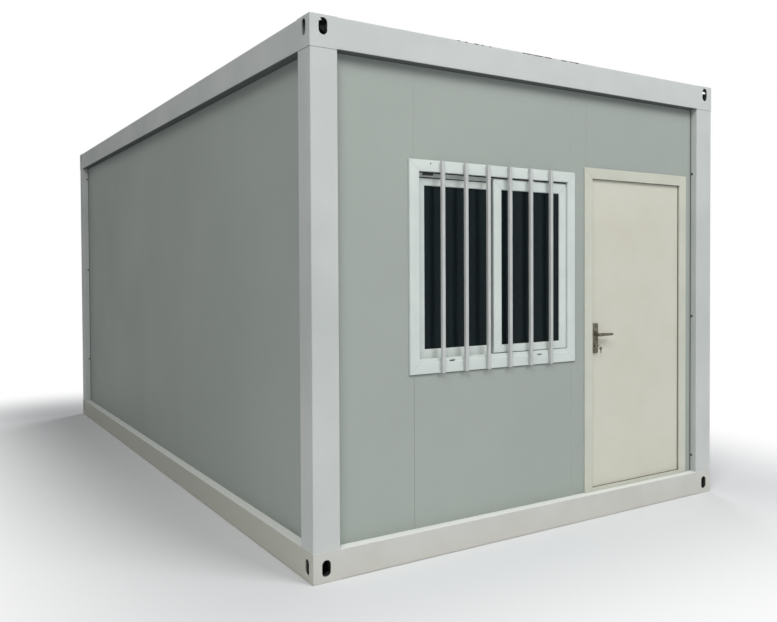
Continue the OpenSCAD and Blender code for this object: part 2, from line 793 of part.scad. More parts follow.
front_wall_over_window();
front_wall_middle();
front_wall_over_door();
front_wall_right();
window_frame();
window_sashes();
window_glass();
window_bars();
door_jamb_left();
door_jamb_right();
door_head();
door_threshold();
door_hinge_pins();
door_leaf();
door_hinge_flaps();
lock_plates();
door_lever();
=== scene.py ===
"""Looks of a flat-pack prefab cabin: its paints, panels, window, door and fixings, in a plain studio."""

import logging
import math
from collections.abc import Mapping, Sequence
from dataclasses import dataclass, field
from enum import Enum
from typing import Any

import bmesh
import bpy
from mathutils import Matrix, Vector


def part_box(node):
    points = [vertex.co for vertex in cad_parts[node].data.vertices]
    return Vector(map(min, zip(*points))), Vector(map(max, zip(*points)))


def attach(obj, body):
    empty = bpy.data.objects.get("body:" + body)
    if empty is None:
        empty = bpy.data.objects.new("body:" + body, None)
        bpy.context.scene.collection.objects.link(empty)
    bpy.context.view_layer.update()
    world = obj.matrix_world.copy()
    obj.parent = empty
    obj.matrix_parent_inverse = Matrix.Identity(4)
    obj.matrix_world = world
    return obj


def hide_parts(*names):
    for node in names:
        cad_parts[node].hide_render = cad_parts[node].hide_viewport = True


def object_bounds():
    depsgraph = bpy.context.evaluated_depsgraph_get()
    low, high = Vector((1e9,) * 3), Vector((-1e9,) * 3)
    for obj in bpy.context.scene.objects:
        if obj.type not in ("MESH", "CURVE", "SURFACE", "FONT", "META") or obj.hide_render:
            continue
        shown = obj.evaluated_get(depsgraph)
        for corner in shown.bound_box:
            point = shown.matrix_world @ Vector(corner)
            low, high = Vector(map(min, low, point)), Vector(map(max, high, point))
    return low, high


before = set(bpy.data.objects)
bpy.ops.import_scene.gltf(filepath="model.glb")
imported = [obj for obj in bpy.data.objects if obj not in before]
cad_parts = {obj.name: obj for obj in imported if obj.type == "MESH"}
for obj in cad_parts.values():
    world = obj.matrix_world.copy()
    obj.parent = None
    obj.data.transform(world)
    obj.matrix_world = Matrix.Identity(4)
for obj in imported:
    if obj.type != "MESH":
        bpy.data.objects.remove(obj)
CAD_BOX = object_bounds()

MM = 0.001
NODES: dict[str, bpy.types.Object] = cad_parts
# Distance under which points of a CAD mesh are one point, and under which a point lies on a plane
WELD_MM = 0.01
TOUCH_MM = 0.1
# Angles under which two faces are one, over which an edge is rounded, and over which shading breaks
ONE_FACE_DEG = 1.0
ROUNDED_DEG = 30.0
CREASE_DEG = 20.0
# Distance of a bead's middle from the corner or the face that it lies on, as a share of its radius
CORNER_BEAD = 0.5
FACE_BEAD = 0.4
SPIN_SEED = 7
log = logging.getLogger("cabin")


class Body(Enum):
    """Bodies that the pieces ride on."""

    BUILDING = "building"
    DOOR = "door"
    LEVER = "lever"


class Corner(Enum):
    """Corners of the frame, with the signs of their x and y."""

    FRONT_LEFT = (-1, -1)
    FRONT_RIGHT = (1, -1)
    BACK_RIGHT = (1, 1)
    BACK_LEFT = (-1, 1)


class Side(Enum):
    """Sides of the frame."""

    FRONT = "front"
    RIGHT = "right"
    BACK = "back"
    LEFT = "left"


class Socket(Enum):
    """Kinds of input that a tree of geometry nodes takes."""

    SHAPE = "NodeSocketGeometry"
    LENGTH = "NodeSocketFloat"
    COUNT = "NodeSocketInt"
    FINISH = "NodeSocketMaterial"


class HeadShape(Enum):
    """Heads of the fixings, each with its number of sides and its top's share of the radius."""

    HEX = (6, 0.94)
    PAN = (16, 0.66)


def linear(colour: str) -> tuple[float, float, float, float]:
    """Turn an sRGB hex colour into linear light.

    Args:
        colour: A hash and six hex digits.

    Returns:
        Red, green, blue and an alpha of one.
    """
    channels = [int(colour[i : i + 2], 16) / 255 for i in (1, 3, 5)]
    light = [c / 12.92 if c <= 0.04045 else ((c + 0.055) / 1.055) ** 2.4 for c in channels]
    return light[0], light[1], light[2], 1.0


def add(
    tree: bpy.types.NodeTree, kind: str, inputs: Mapping[str | int, Any] | None = None, **settings: Any
) -> bpy.types.Node:
    """Add a node with its settings, values and links.

    Args:
        tree: Tree that takes the node.
        kind: Blender's name of the node's type.
        inputs: A value, a socket or a list of sockets for each input, by name or number.
        **settings: Properties of the node.

    Returns:
        The new node.
    """
    node = tree.nodes.new(kind)
    for name, value in settings.items():
        setattr(node, name, value)
    for key, value in (inputs or {}).items():
        sources = value if isinstance(value, list) else [value]
        for source in sources:
            if isinstance(source, bpy.types.NodeSocket):
                tree.links.new(source, node.inputs[key])
            else:
                node.inputs[key].default_value = source
    return node


# Finishes


@dataclass(frozen=True)
class Finish:
    """A surface finish that gives one shared material.

    Attributes:
        name: Common name of the real material.
        colour: Its main colour.
        roughness: Its usual roughness.
    """

    name: str
    colour: str
    roughness: float

    def material(self) -> bpy.types.Material:
        """Give the finish's material, made at the first call.

        Returns:
            The material.
        """
        found = bpy.data.materials.get(self.name)
        if found is not None:
            return found
        made = bpy.data.materials.new(self.name)
        made.use_nodes = True
        made.diffuse_color = linear(self.colour)
        tree = made.node_tree
        tree.nodes.clear()
        coords = add(tree, "ShaderNodeTexCoord").outputs["Object"]
        shader = add(tree, "ShaderNodeBsdfPrincipled", {"Roughness": self.roughness})
        self.shade(tree, coords, shader)
        add(tree, "ShaderNodeOutputMaterial", {"Surface": shader.outputs["BSDF"]})
        return made

    def shade(self, tree: bpy.types.NodeTree, coords: bpy.types.NodeSocket, shader: bpy.types.Node) -> None:
        """Set up the shader's colour and relief.

        Args:
            tree: The material's tree.
            coords: Object coordinates in metres.
            shader: The principled shader.
        """
        raise NotImplementedError

    def dress(self, *nodes: str) -> None:
        """Put the finish on CAD nodes.

        Args:
            *nodes: Names of the nodes.
        """
        for node in nodes:
            slots = NODES[node].data.materials
            slots.clear()
            slots.append(self.material())


@dataclass(frozen=True)
class CoatedSteel(Finish):
    """Paint on steel sheet: nearly even colour with faint clouds, a fine skin and a soft shine.

    Attributes:
        cloud: Tone of the uneven patches.
        cloud_mm: Width of the patches.
        cloud_band: Levels of noise between which a patch sets in.
        spread: How far the patches' roughness strays down and up.
        peel_mm: Width of the paint's skin grain, drawn coarser than real so that it shows.
        peel_depth_mm: Depth of that grain.
        wave_mm: Width of the slow waves in thin sheet.
        wave_depth_mm: Depth of those waves.
        shine: Level of the clear reflection.
        dust: Colour of dust that lies low on the piece, or nothing.
        dust_mm: Height where the dust ends.
        speck_mm: Width of the dust's own patches.
        under: Tone of undersides, darker as painted shade, or nothing.
        side_shade: Tone of faces towards -x, darker as painted shade, or nothing.
        top_light: Tone of upward faces, paler as painted light, or nothing.
        facing: Shares of a face's turn towards an axis between which such a tone sets in.
    """

    cloud: str = "#B4B8B6"
    cloud_mm: float = 420.0
    cloud_band: tuple[float, float] = (0.38, 0.68)
    spread: tuple[float, float] = (0.05, 0.06)
    peel_mm: float = 9.0
    peel_depth_mm: float = 0.05
    wave_mm: float = 600.0
    wave_depth_mm: float = 0.0
    shine: float = 0.012
    dust: str = ""
    dust_mm: float = 300.0
    speck_mm: float = 120.0
    under: str = ""
    side_shade: str = ""
    top_light: str = ""
    facing: tuple[float, float] = (0.4, 0.9)

    def shade(self, tree: bpy.types.NodeTree, coords: bpy.types.NodeSocket, shader: bpy.types.Node) -> None:
        """Set up clouds, dust, painted shade and light on turned faces, marks, skin and waves.

        Args:
            tree: The material's tree.
            coords: Object coordinates in metres.
            shader: The principled shader.
        """
        clouds = add(
            tree,
            "ShaderNodeTexNoise",
            {"Vector": coords, "Scale": 1 / (self.cloud_mm * MM), "Detail": 3.0, "Roughness": 0.55},
        )
        thin, thick = self.cloud_band
        amount = add(tree, "ShaderNodeMapRange", {"Value": clouds.outputs[0], 1: thin, 2: thick})
        tone = add(
            tree,
            "ShaderNodeMix",
            {0: amount.outputs[0], 6: linear(self.colour), 7: linear(self.cloud)},
            data_type="RGBA",
        ).outputs[2]
        if self.dust:
            tone = self.dusted(tree, coords, tone)
        tone, rough = self.marked(tree, coords, self.turned(tree, tone))
        if rough is None:
            down, up = self.spread
            levels = {1: 0.3, 2: 0.7, 3: self.roughness - down, 4: self.roughness + up}
            rough = add(tree, "ShaderNodeMapRange", {"Value": clouds.outputs[0], **levels}).outputs[0]
        tree.links.new(tone, shader.inputs["Base Color"])
        tree.links.new(rough, shader.inputs["Roughness"])
        tree.links.new(self.relief(tree, coords), shader.inputs["Normal"])
        shader.inputs["Specular IOR Level"].default_value = self.shine

    def turned(self, tree: bpy.types.NodeTree, tone: bpy.types.NodeSocket) -> bpy.types.NodeSocket:
        """Paint shade on faces turned down or towards -x, and light on faces turned up.

        Args:
            tree: The material's tree.
            tone: The colour of all faces.

        Returns:
            The colour with that painted shade and light.
        """
        start, full = self.facing
        # Painted shade on undersides and faces towards -x, painted light on upward faces.
        for axis, sign, own in ((2, -1, self.under), (0, -1, self.side_shade), (2, 1, self.top_light)):
            if own:
                way = add(tree, "ShaderNodeNewGeometry").outputs["Normal"]
                along = add(tree, "ShaderNodeSeparateXYZ", {"Vector": way}).outputs[axis]
                share = add(tree, "ShaderNodeMapRange", {"Value": along, 1: sign * start, 2: sign * full})
                tone = add(
                    tree, "ShaderNodeMix", {0: share.outputs[0], 6: tone, 7: linear(own)}, data_type="RGBA"
                ).outputs[2]
        return tone

    def relief(self, tree: bpy.types.NodeTree, coords: bpy.types.NodeSocket) -> bpy.types.NodeSocket:
        """Raise the paint's skin, and the waves of thin sheet where it has them.

        Args:
            tree: The material's tree.
            coords: Object coordinates in metres.

        Returns:
            The bumped normal.
        """
        skin = add(
            tree, "ShaderNodeTexNoise", {"Vector": coords, "Scale": 1 / (self.peel_mm * MM), "Detail": 2.0}
        )
        relief = add(
            tree,
            "ShaderNodeBump",
            {"Height": skin.outputs[0], "Strength": 0.5, "Distance": self.peel_depth_mm * MM},
        )
        if not self.wave_depth_mm:
            return relief.outputs[0]
        waves = add(
            tree, "ShaderNodeTexNoise", {"Vector": coords, "Scale": 1 / (self.wave_mm * MM), "Detail": 1.0}
        )
        waved = add(
            tree,
            "ShaderNodeBump",
            {
                "Height": waves.outputs[0],
                "Strength": 0.6,
                "Distance": self.wave_depth_mm * MM,
                "Normal": relief.outputs[0],
            },
        )
        return waved.outputs[0]

    def dusted(
        self, tree: bpy.types.NodeTree, coords: bpy.types.NodeSocket, tone: bpy.types.NodeSocket
    ) -> bpy.types.NodeSocket:
        """Lay dust over the low part of the piece, thicker towards the ground and in patches.

        Args:
            tree: The material's tree.
            coords: Object coordinates in metres.
            tone: The clean colour.

        Returns:
            The dusted colour.
        """
        height = add(tree, "ShaderNodeSeparateXYZ", {"Vector": coords}).outputs[2]
        low = add(tree, "ShaderNodeMapRange", {"Value": height, 1: self.dust_mm * MM, 2: 0.0, 3: 0.0, 4: 0.9})
        specks = add(
            tree,
            "ShaderNodeTexNoise",
            {"Vector": coords, "Scale": 1 / (self.speck_mm * MM), "Detail": 6.0, "Roughness": 0.7},
        )
        levels = {1: 0.3, 2: 0.75, 3: 0.35, 4: 1.0}
        patchy = add(tree, "ShaderNodeMapRange", {"Value": specks.outputs[0], **levels})
        cover = add(tree, "ShaderNodeMath", {0: low.outputs[0], 1: patchy.outputs[0]}, operation="MULTIPLY")
        return add(
            tree, "ShaderNodeMix", {0: cover.outputs[0], 6: tone, 7: linear(self.dust)}, data_type="RGBA"
        ).outputs[2]

    def marked(
        self, tree: bpy.types.NodeTree, coords: bpy.types.NodeSocket, tone: bpy.types.NodeSocket
    ) -> tuple[bpy.types.NodeSocket, bpy.types.NodeSocket | None]:
        """Leave the paint whole; a chipped paint puts its marks here.

        Args:
            tree: The material's tree.
            coords: Object coordinates in metres.
            tone: The colour so far.

        Returns:
            The colour, and a roughness where the marks change it.
        """
        return tone, None


@dataclass(frozen=True)
class ChippedPaint(CoatedSteel):
    """Paint that has flaked along a top edge, with brown rust in the flakes.

    Attributes:
        rust: Colour of the rust.
        edge_mm: Place of the edge along y and z.
        reach_mm: How far the rust reaches below and behind the edge.
        chips: Middle and half width of each flaked stretch along x.
        full_share: Share of a stretch's half width that is fully flaked.
        flake_mm: Width of a flake.
        rust_roughness: Roughness of the rust.
    """

    rust: str = "#4C4641"
    edge_mm: tuple[float, float] = (-2975.0, 2800.0)
    reach_mm: float = 13.0
    chips: tuple[tuple[float, float], ...] = ()
    full_share: float = 0.75
    flake_mm: float = 16.0
    rust_roughness: float = 0.9

    def marked(
        self, tree: bpy.types.NodeTree, coords: bpy.types.NodeSocket, tone: bpy.types.NodeSocket
    ) -> tuple[bpy.types.NodeSocket, bpy.types.NodeSocket | None]:
        """Break the paint along the edge where the chips lie.

        Args:
            tree: The material's tree.
            coords: Object coordinates in metres.
            tone: The colour so far.

        Returns:
            The colour with rust, and the rougher rust's roughness.
        """
        axes = add(tree, "ShaderNodeSeparateXYZ", {"Vector": coords})
        near = None
        for middle, half in self.chips:
            off = add(tree, "ShaderNodeMath", {0: axes.outputs[0], 1: middle * MM}, operation="SUBTRACT")
            gap = add(tree, "ShaderNodeMath", {0: off.outputs[0]}, operation="ABSOLUTE")
            ends = {1: half * MM, 2: half * MM * self.full_share}
            here = add(tree, "ShaderNodeMapRange", {"Value": gap.outputs[0], **ends})
            if near is not None:
                both = {0: near.outputs[0], 1: here.outputs[0]}
                here = add(tree, "ShaderNodeMath", both, operation="MAXIMUM")
            near = here
        where = near
        edge_y, edge_z = self.edge_mm
        for axis, edge, reach in ((1, edge_y, self.reach_mm), (2, edge_z, -self.reach_mm)):
            ends = {1: (edge + reach) * MM, 2: edge * MM}
            close = add(tree, "ShaderNodeMapRange", {"Value": axes.outputs[axis], **ends})
            both = {0: where.outputs[0], 1: close.outputs[0]}
            where = add(tree, "ShaderNodeMath", both, operation="MULTIPLY")
        flakes = add(
            tree, "ShaderNodeTexNoise", {"Vector": coords, "Scale": 1 / (self.flake_mm * MM), "Detail": 3.0}
        )
        depth = add(tree, "ShaderNodeMath", {0: where.outputs[0], 1: flakes.outputs[0]}, operation="MULTIPLY")
        cover = add(tree, "ShaderNodeMapRange", {"Value": depth.outputs[0], 1: 0.2, 2: 0.3})
        colour = add(
            tree, "ShaderNodeMix", {0: cover.outputs[0], 6: tone, 7: linear(self.rust)}, data_type="RGBA"
        )
        rough = add(
            tree,
            "ShaderNodeMapRange",
            {"Value": cover.outputs[0], 3: self.roughness, 4: self.rust_roughness},
        )
        return colour.outputs[2], rough.outputs[0]


@dataclass(frozen=True)
class Polymer(Finish):
    """Extruded or run-in polymer: an even colour, slightly mottled, with a faint grain.

    Attributes:
        mottle: Tone of the mottling.
        mottle_mm: Width of its patches.
        grain_mm: Width of the grain.
        grain_depth_mm: Depth of the grain.
        shine: Level of the clear reflection.
    """

    mottle: str = "#FFFFFF"
    mottle_mm: float = 160.0
    grain_mm: float = 6.0
    grain_depth_mm: float = 0.04
    shine: float = 0.3

    def shade(self, tree: bpy.types.NodeTree, coords: bpy.types.NodeSocket, shader: bpy.types.Node) -> None:
        """Set up the mottled colour and the grain.

        Args:
            tree: The material's tree.
            coords: Object coordinates in metres.
            shader: The principled shader.
        """
        patches = add(
            tree, "ShaderNodeTexNoise", {"Vector": coords, "Scale": 1 / (self.mottle_mm * MM), "Detail": 4.0}
        )
        amount = add(tree, "ShaderNodeMapRange", {"Value": patches.outputs[0], 1: 0.35, 2: 0.7})
        tone = add(
            tree,
            "ShaderNodeMix",
            {0: amount.outputs[0], 6: linear(self.colour), 7: linear(self.mottle)},
            data_type="RGBA",
        )
        grain = add(
            tree, "ShaderNodeTexNoise", {"Vector": coords, "Scale": 1 / (self.grain_mm * MM), "Detail": 2.0}
        )
        relief = add(
            tree,
            "ShaderNodeBump",
            {"Height": grain.outputs[0], "Strength": 0.5, "Distance": self.grain_depth_mm * MM},
        )
        tree.links.new(tone.outputs[2], shader.inputs["Base Color"])
        tree.links.new(relief.outputs[0], shader.inputs["Normal"])
        shader.inputs["Specular IOR Level"].default_value = self.shine


@dataclass(frozen=True)
class Metal(Finish):
    """Bare, plated or lacquered metal with cells of a second tone.

    Attributes:
        fleck: Tone of the cells or worn spots.
        cell_mm: Width of the cells.
        metallic: Share of bare metal in the look.
        spread: How far the cells' roughness strays either way.
    """

    fleck: str = "#FFFFFF"
    cell_mm: float = 14.0
    metallic: float = 1.0
    spread: float = 0.08

    def shade(self, tree: bpy.types.NodeTree, coords: bpy.types.NodeSocket, shader: bpy.types.Node) -> None:
        """Set up the cells and their uneven shine.

        Args:
            tree: The material's tree.
            coords: Object coordinates in metres.
            shader: The principled shader.
        """
        cells = add(tree, "ShaderNodeTexVoronoi", {"Vector": coords, "Scale": 1 / (self.cell_mm * MM)})
        grey = add(tree, "ShaderNodeRGBToBW", {"Color": cells.outputs["Color"]})
        tone = add(
            tree,
            "ShaderNodeMix",
            {0: grey.outputs[0], 6: linear(self.colour), 7: linear(self.fleck)},
            data_type="RGBA",
        )
        rough = add(
            tree,
            "ShaderNodeMapRange",
            {"Value": grey.outputs[0], 3: self.roughness - self.spread, 4: self.roughness + self.spread},
        )
        tree.links.new(tone.outputs[2], shader.inputs["Base Color"])
        tree.links.new(rough.outputs[0], shader.inputs["Roughness"])
        shader.inputs["Metallic"].default_value = self.metallic


@dataclass(frozen=True)
class Glazing(Finish):
    """Float glass: smooth, body-tinted, with a slight waviness in what it reflects.

    Attributes:
        wave_mm: Width of the waviness.
        wave_depth_mm: Depth of the waviness.
        bend: Index of refraction, set low because little light falls back from the pane.
        gleam: Tone of the reflection.
        clear: Share of the pane that is clear, the rest being a film of dust.
    """

    wave_mm: float = 350.0
    wave_depth_mm: float = 0.4
    bend: float = 1.24
    gleam: str = "#9FB6BC"
    clear: float = 0.84

    def shade(self, tree: bpy.types.NodeTree, coords: bpy.types.NodeSocket, shader: bpy.types.Node) -> None:
        """Set up the tint, the transmission and the waviness.

        Args:
            tree: The material's tree.
            coords: Object coordinates in metres.
            shader: The principled shader.
        """
        waves = add(tree, "ShaderNodeTexNoise", {"Vector": coords, "Scale": 1 / (self.wave_mm * MM)})
        relief = add(
            tree,
            "ShaderNodeBump",
            {"Height": waves.outputs[0], "Strength": 0.2, "Distance": self.wave_depth_mm * MM},
        )
        tree.links.new(relief.outputs[0], shader.inputs["Normal"])
        shader.inputs["Base Color"].default_value = linear(self.colour)
        shader.inputs["Transmission Weight"].default_value = self.clear
        shader.inputs["IOR"].default_value = self.bend
        shader.inputs["Specular Tint"].default_value = linear(self.gleam)


@dataclass(frozen=True)
class SheetVinyl(Finish):
    """Printed sheet vinyl: narrow planks in near tones with fine grain along them.

    Attributes:
        dark: Tone of the darker planks and the grain.
        plank_mm: Length and width of a plank.
        joint: Tone of the joints between planks.
        joint_mm: Width of those joints.
        grain_mm: Width and length of the grain.
        shine: Level of the clear reflection.
    """

    dark: str = "#5F564B"
    plank_mm: tuple[float, float] = (900.0, 120.0)
    joint: str = "#3B352E"
    joint_mm: float = 1.2
    grain_mm: tuple[float, float] = (6.0, 180.0)
    shine: float = 0.3

    def shade(self, tree: bpy.types.NodeTree, coords: bpy.types.NodeSocket, shader: bpy.types.Node) -> None:
        """Set up the planks and the grain.

        Args:
            tree: The material's tree.
            coords: Object coordinates in metres.
            shader: The principled shader.
        """
        length, width = self.plank_mm
        turned = add(tree, "ShaderNodeMapping", {"Vector": coords, "Rotation": (0.0, 0.0, math.pi / 2)})
        planks = add(
            tree,
            "ShaderNodeTexBrick",
            {
                "Vector": turned.outputs[0],
                "Color1": linear(self.colour),
                "Color2": linear(self.dark),
                "Mortar": linear(self.joint),
                "Scale": 1.0,
                "Mortar Size": self.joint_mm * MM,
                "Brick Width": length * MM,
                "Row Height": width * MM,
            },
        )
        fine, run = (v * MM for v in self.grain_mm)
        long = add(tree, "ShaderNodeMapping", {"Vector": coords, "Scale": (1 / fine, 1 / run, 1.0)})
        grain = add(tree, "ShaderNodeTexNoise", {"Vector": long.outputs[0], "Scale": 1.0, "Detail": 4.0})
        share = add(tree, "ShaderNodeMapRange", {"Value": grain.outputs[0], 1: 0.4, 2: 0.8, 4: 0.45})
        tone = add(
            tree,
            "ShaderNodeMix",
            {0: share.outputs[0], 6: planks.outputs["Color"], 7: linear(self.dark)},
            data_type="RGBA",
        )
        tree.links.new(tone.outputs[2], shader.inputs["Base Color"])
        shader.inputs["Specular IOR Level"].default_value = self.shine


# Baked polyester paint on cold-formed steel: light grey, satin, with faint clouds where it was sprayed, and
# dark grey undersides as painted shade.
FRAME_PAINT = CoatedSteel(
    "baked_polyester_paint_light_grey", "#C0C4C2", 0.45, cloud="#B8BDBB", cloud_mm=520.0, under="#5A5F5D"
)
# The same paint where it has chipped and rusted along the top edge, with the same painted shade on its
# undersides.
CHIPPED_PAINT = ChippedPaint(
    "baked_polyester_paint_chipped",
    "#C0C4C2",
    0.45,
    cloud="#B8BDBB",
    cloud_mm=520.0,
    under="#5A5F5D",
    chips=(
        (-621.0, 14.0),
        (-574.0, 11.0),
        (-501.0, 19.0),
        (-461.0, 10.0),
        (-407.0, 10.0),
        (-62.0, 135.0),
        (190.0, 90.0),
    ),
)
# Dark grey, matt coat on the plates inside the corner fittings: painted shade for the hollow seen through the
# slots.
INNER_SHADE_COAT = CoatedSteel("dark_coat_painted_shade", "#3A3D3C", 0.7, cloud="#434645", cloud_mm=60.0)
# The frame's paint close to the ground, warmer under a thin film of dust, with painted shade on faces towards
# -x and painted light on upward faces.
BASE_PAINT = CoatedSteel(
    "baked_polyester_paint_dusty",
    "#C0C1BD",
    0.55,
    cloud="#BABAB5",
    cloud_mm=300.0,
    dust="#BBB9B1",
    dust_mm=150.0,
    side_shade="#B6B7AD",
    top_light="#E2E5E1",
)
# Colour-coated skin of a sandwich panel: smooth grey-green with slow waves in the thin sheet.
PANEL_SKIN = CoatedSteel(
    "colour_coated_panel_skin",
    "#9FA6A1",
    0.42,
    cloud="#9CA39E",
    cloud_mm=900.0,
    wave_mm=650.0,
    wave_depth_mm=1.2,
    peel_depth_mm=0.02,
)
# Colour-coated roof sheet: the frame's grey, dulled by weather.
ROOF_SKIN = CoatedSteel("colour_coated_roof_sheet", "#B4B8B5", 0.6, cloud="#A3A59F", cloud_mm=350.0)
# Colour-coated ceiling boards: clean white, seen only from inside.
CEILING_SKIN = CoatedSteel("colour_coated_ceiling_board", "#DDDFDC", 0.5, cloud="#D5D7D4", cloud_mm=700.0)
# Powder coat on the window's square tubes: light grey, a little warmer than the window.
BAR_PAINT = CoatedSteel("powder_coat_bar_grey", "#BDC0BF", 0.5, cloud="#B4B7B6", cloud_mm=160.0)
# Enamel on the pressed-steel door frame: off-white with a green tinge.
DOOR_FRAME_PAINT = CoatedSteel("enamel_off_white", "#C4C6BA", 0.45, cloud="#BEC0B4", cloud_mm=260.0)
# Enamel on the door's skin: ivory, flat and even, with slight waves in the sheet.
DOOR_PAINT = CoatedSteel(
    "enamel_ivory", "#C9C8BC", 0.42, cloud="#C3C2B5", cloud_mm=480.0, wave_mm=420.0, wave_depth_mm=0.8
)
# Extruded PVC-U: cool white, smooth and slightly glossy.
WINDOW_PROFILE = Polymer("extruded_pvc_u_white", "#CAD2CE", 0.35, mottle="#C3CBC8")
# Tinted float glass: near black with the dim room behind it.
WINDOW_GLASS = Glazing("tinted_float_glass", "#3E4C4F", 0.02)
# Matt dark grey: EPDM rubber of the post gaskets, and painted shadow in the lines under the roof beams and
# under the window's casing.
GREY_RUBBER_AND_SHADE = Polymer("epdm_rubber_and_painted_shade", "#4C504E", 0.8, mottle="#585C5A", shine=0.1)
# Soft PVC of the door's seal: grey-brown, matt.
SEAL_PVC = Polymer("soft_pvc_grey_brown", "#67635A", 0.7, mottle="#726E64", shine=0.1)
# Weld seams in the window's mitres: grey with the dirt that they hold.
WELD_SEAM = Polymer("welded_pvc_u_seam", "#9EA4A2", 0.7, mottle="#A8AEAC", shine=0.1)
# Wool pile in the window's tracks: dull dark grey, which also paints the shade in the tracks' gaps.
WOOL_PILE_AND_SHADE = Polymer("wool_pile_and_painted_shade", "#2C2E2E", 0.95, mottle="#3A3C3B", grain_mm=2.0, shine=0.0)
# EPDM rubber: matt black, a little dusty.
RUBBER = Polymer("epdm_rubber", "#1E1F1F", 0.75, mottle="#2B2C2B", shine=0.2)
# Black polyamide of the window's anti-lift block and weep covers; on the covers the black is painted shade of
# the weep slots.
BLACK_NYLON_AND_SHADE = Polymer("black_polyamide_and_painted_shade", "#202222", 0.55, mottle="#343736", shine=0.3)
# Neutral silicone: pale grey, matt, run in by hand.
SILICONE = Polymer("neutral_silicone", "#B4BAB7", 0.6, mottle="#A9AFAC", grain_mm=25.0, grain_depth_mm=0.3)
# Zinc-plated steel: dull grey with a soft metal sheen.
ZINC_PLATE = Metal("zinc_plated_steel", "#8F9292", 0.45, fleck="#A3A6A6", cell_mm=6.0)
# Zinc plate in dark grey, as painted shade on the bolts in the posts' returns; the casing's screw has it too.
ZINC_IN_PAINTED_SHADE = Metal("zinc_plate_painted_shade", "#4F5352", 0.6, fleck="#5E6261", cell_mm=5.0, metallic=0.6)
# Hot-dip galvanised steel: pale spangled cells.
GALVANISED = Metal("hot_dip_galvanised_steel", "#A5A8A9", 0.5, fleck="#BFC2C3", cell_mm=22.0, metallic=0.8)
# Dark bronze lacquer on cast zinc: brown-black, rubbed lighter in spots.
LOCK_BRONZE = Metal("dark_bronze_lacquer", "#46433A", 0.36, fleck="#7C7766", cell_mm=11.0, metallic=0.5)
# Tarnished brass of the keys: dull olive brown.
KEY_BRASS = Metal("tarnished_brass", "#4B493C", 0.5, fleck="#5C594A", cell_mm=4.0, metallic=0.5)
# Sheet vinyl with a grey-brown plank print.
FLOOR_VINYL = SheetVinyl("printed_sheet_vinyl", "#83796B", 0.45)


# Making pieces


def place(
    piece: bpy.types.Object, body: Body, stands_for: Sequence[str] = ()
) -> bpy.types.Object:
    """Let a piece ride on its body, and hide the CAD nodes that it stands for.

    Args:
        piece: The finished object, at the origin.
        body: Body that carries it.
        stands_for: CAD nodes that the piece is shown for.

    Returns:
        The piece.
    """
    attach(piece, body.value)
    if stands_for:
        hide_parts(*stands_for)
    log.info("%s: %d faces on %s", piece.name, len(piece.data.polygons), body.value)
    return piece


def mesh_object(name: str, shape: bmesh.types.BMesh, finish: Finish) -> bpy.types.Object:
    """Turn a finished shape into an object with smooth faces between sharp edges.

    Args:
        name: Name of the piece.
        shape: Its shape, freed here.
        finish: Its finish.

    Returns:
        The new object, linked to the scene.
    """
    mesh = bpy.data.meshes.new(name)
    shape.to_mesh(mesh)
    shape.free()
    mesh.shade_smooth()
    mesh.set_sharp_from_angle(angle=math.radians(CREASE_DEG))
    mesh.materials.append(finish.material())
    piece = bpy.data.objects.new(name, mesh)
    bpy.context.collection.objects.link(piece)
    return piece


def round_edges(shape: bmesh.types.BMesh, edges: Sequence[bmesh.types.BMEdge], radius_mm: float) -> None:
    """Round some edges of a shape.

    Args:
        shape: The shape.
        edges: Edges to round.
        radius_mm: Their radius.
    """
    bmesh.ops.bevel(
        shape,
        geom=edges,
        offset=radius_mm * MM,
        offset_type="OFFSET",
        segments=2,
        profile=0.5,
        affect="EDGES",
        clamp_overlap=True,
    )


def rounded_box(middle: Vector, size_mm: Sequence[float], edge_mm: float) -> bmesh.types.BMesh:
    """Make a box with rounded edges.

    Args:
        middle: Its middle.
        size_mm: Its length, depth and height.
        edge_mm: Radius of its edges.

    Returns:
        The shape.
    """
    shape = bmesh.new()
    stretch = Matrix.Diagonal((*(side * MM for side in size_mm), 1.0))
    bmesh.ops.create_cube(shape, size=1.0, matrix=Matrix.Translation(middle) @ stretch)
    round_edges(shape, shape.edges[:], edge_mm)
    return shape


def softened(
    node: str, edge_mm: float, finish: Finish, flush: Sequence[tuple[int, float]] = (), rim_mm: float = 0.0
) -> bpy.types.Object:
    """Copy a CAD node with its sharp edges rounded.

    Args:
        node: Name of the CAD node.
        edge_mm: Radius of the edges.
        finish: Finish of the copy.
        flush: Axis and place of each plane whose edges stay sharp, as on a ground weld.
        rim_mm: Radius of the edges round openings in the outer faces, where it differs.

    Returns:
        The new object.
    """
    shape = bmesh.new()
    shape.from_mesh(NODES[node].data)
    bmesh.ops.remove_doubles(shape, verts=shape.verts, dist=WELD_MM * MM)
    one_face = math.radians(ONE_FACE_DEG)
    bmesh.ops.dissolve_limit(shape, angle_limit=one_face, verts=shape.verts, edges=shape.edges)
    low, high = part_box(node)
    touch = TOUCH_MM * MM
    edges, rims = [], []
    for edge in shape.edges:
        ends = [v.co for v in edge.verts]
        if len(edge.link_faces) != 2 or edge.calc_face_angle() < math.radians(ROUNDED_DEG):
            continue
        if any(all(abs(end[axis] - at) < touch for end in ends) for axis, at in flush):
            continue
        faces = [sum(min(end[i] - low[i], high[i] - end[i]) < touch for i in range(3)) for end in ends]
        (rims if rim_mm and faces == [1, 1] else edges).append(edge)
    for group, radius in ((rims, rim_mm), (edges, edge_mm)):
        round_edges(shape, [edge for edge in group if edge.is_valid], radius)
    return mesh_object(f"{node}_soft", shape, finish)


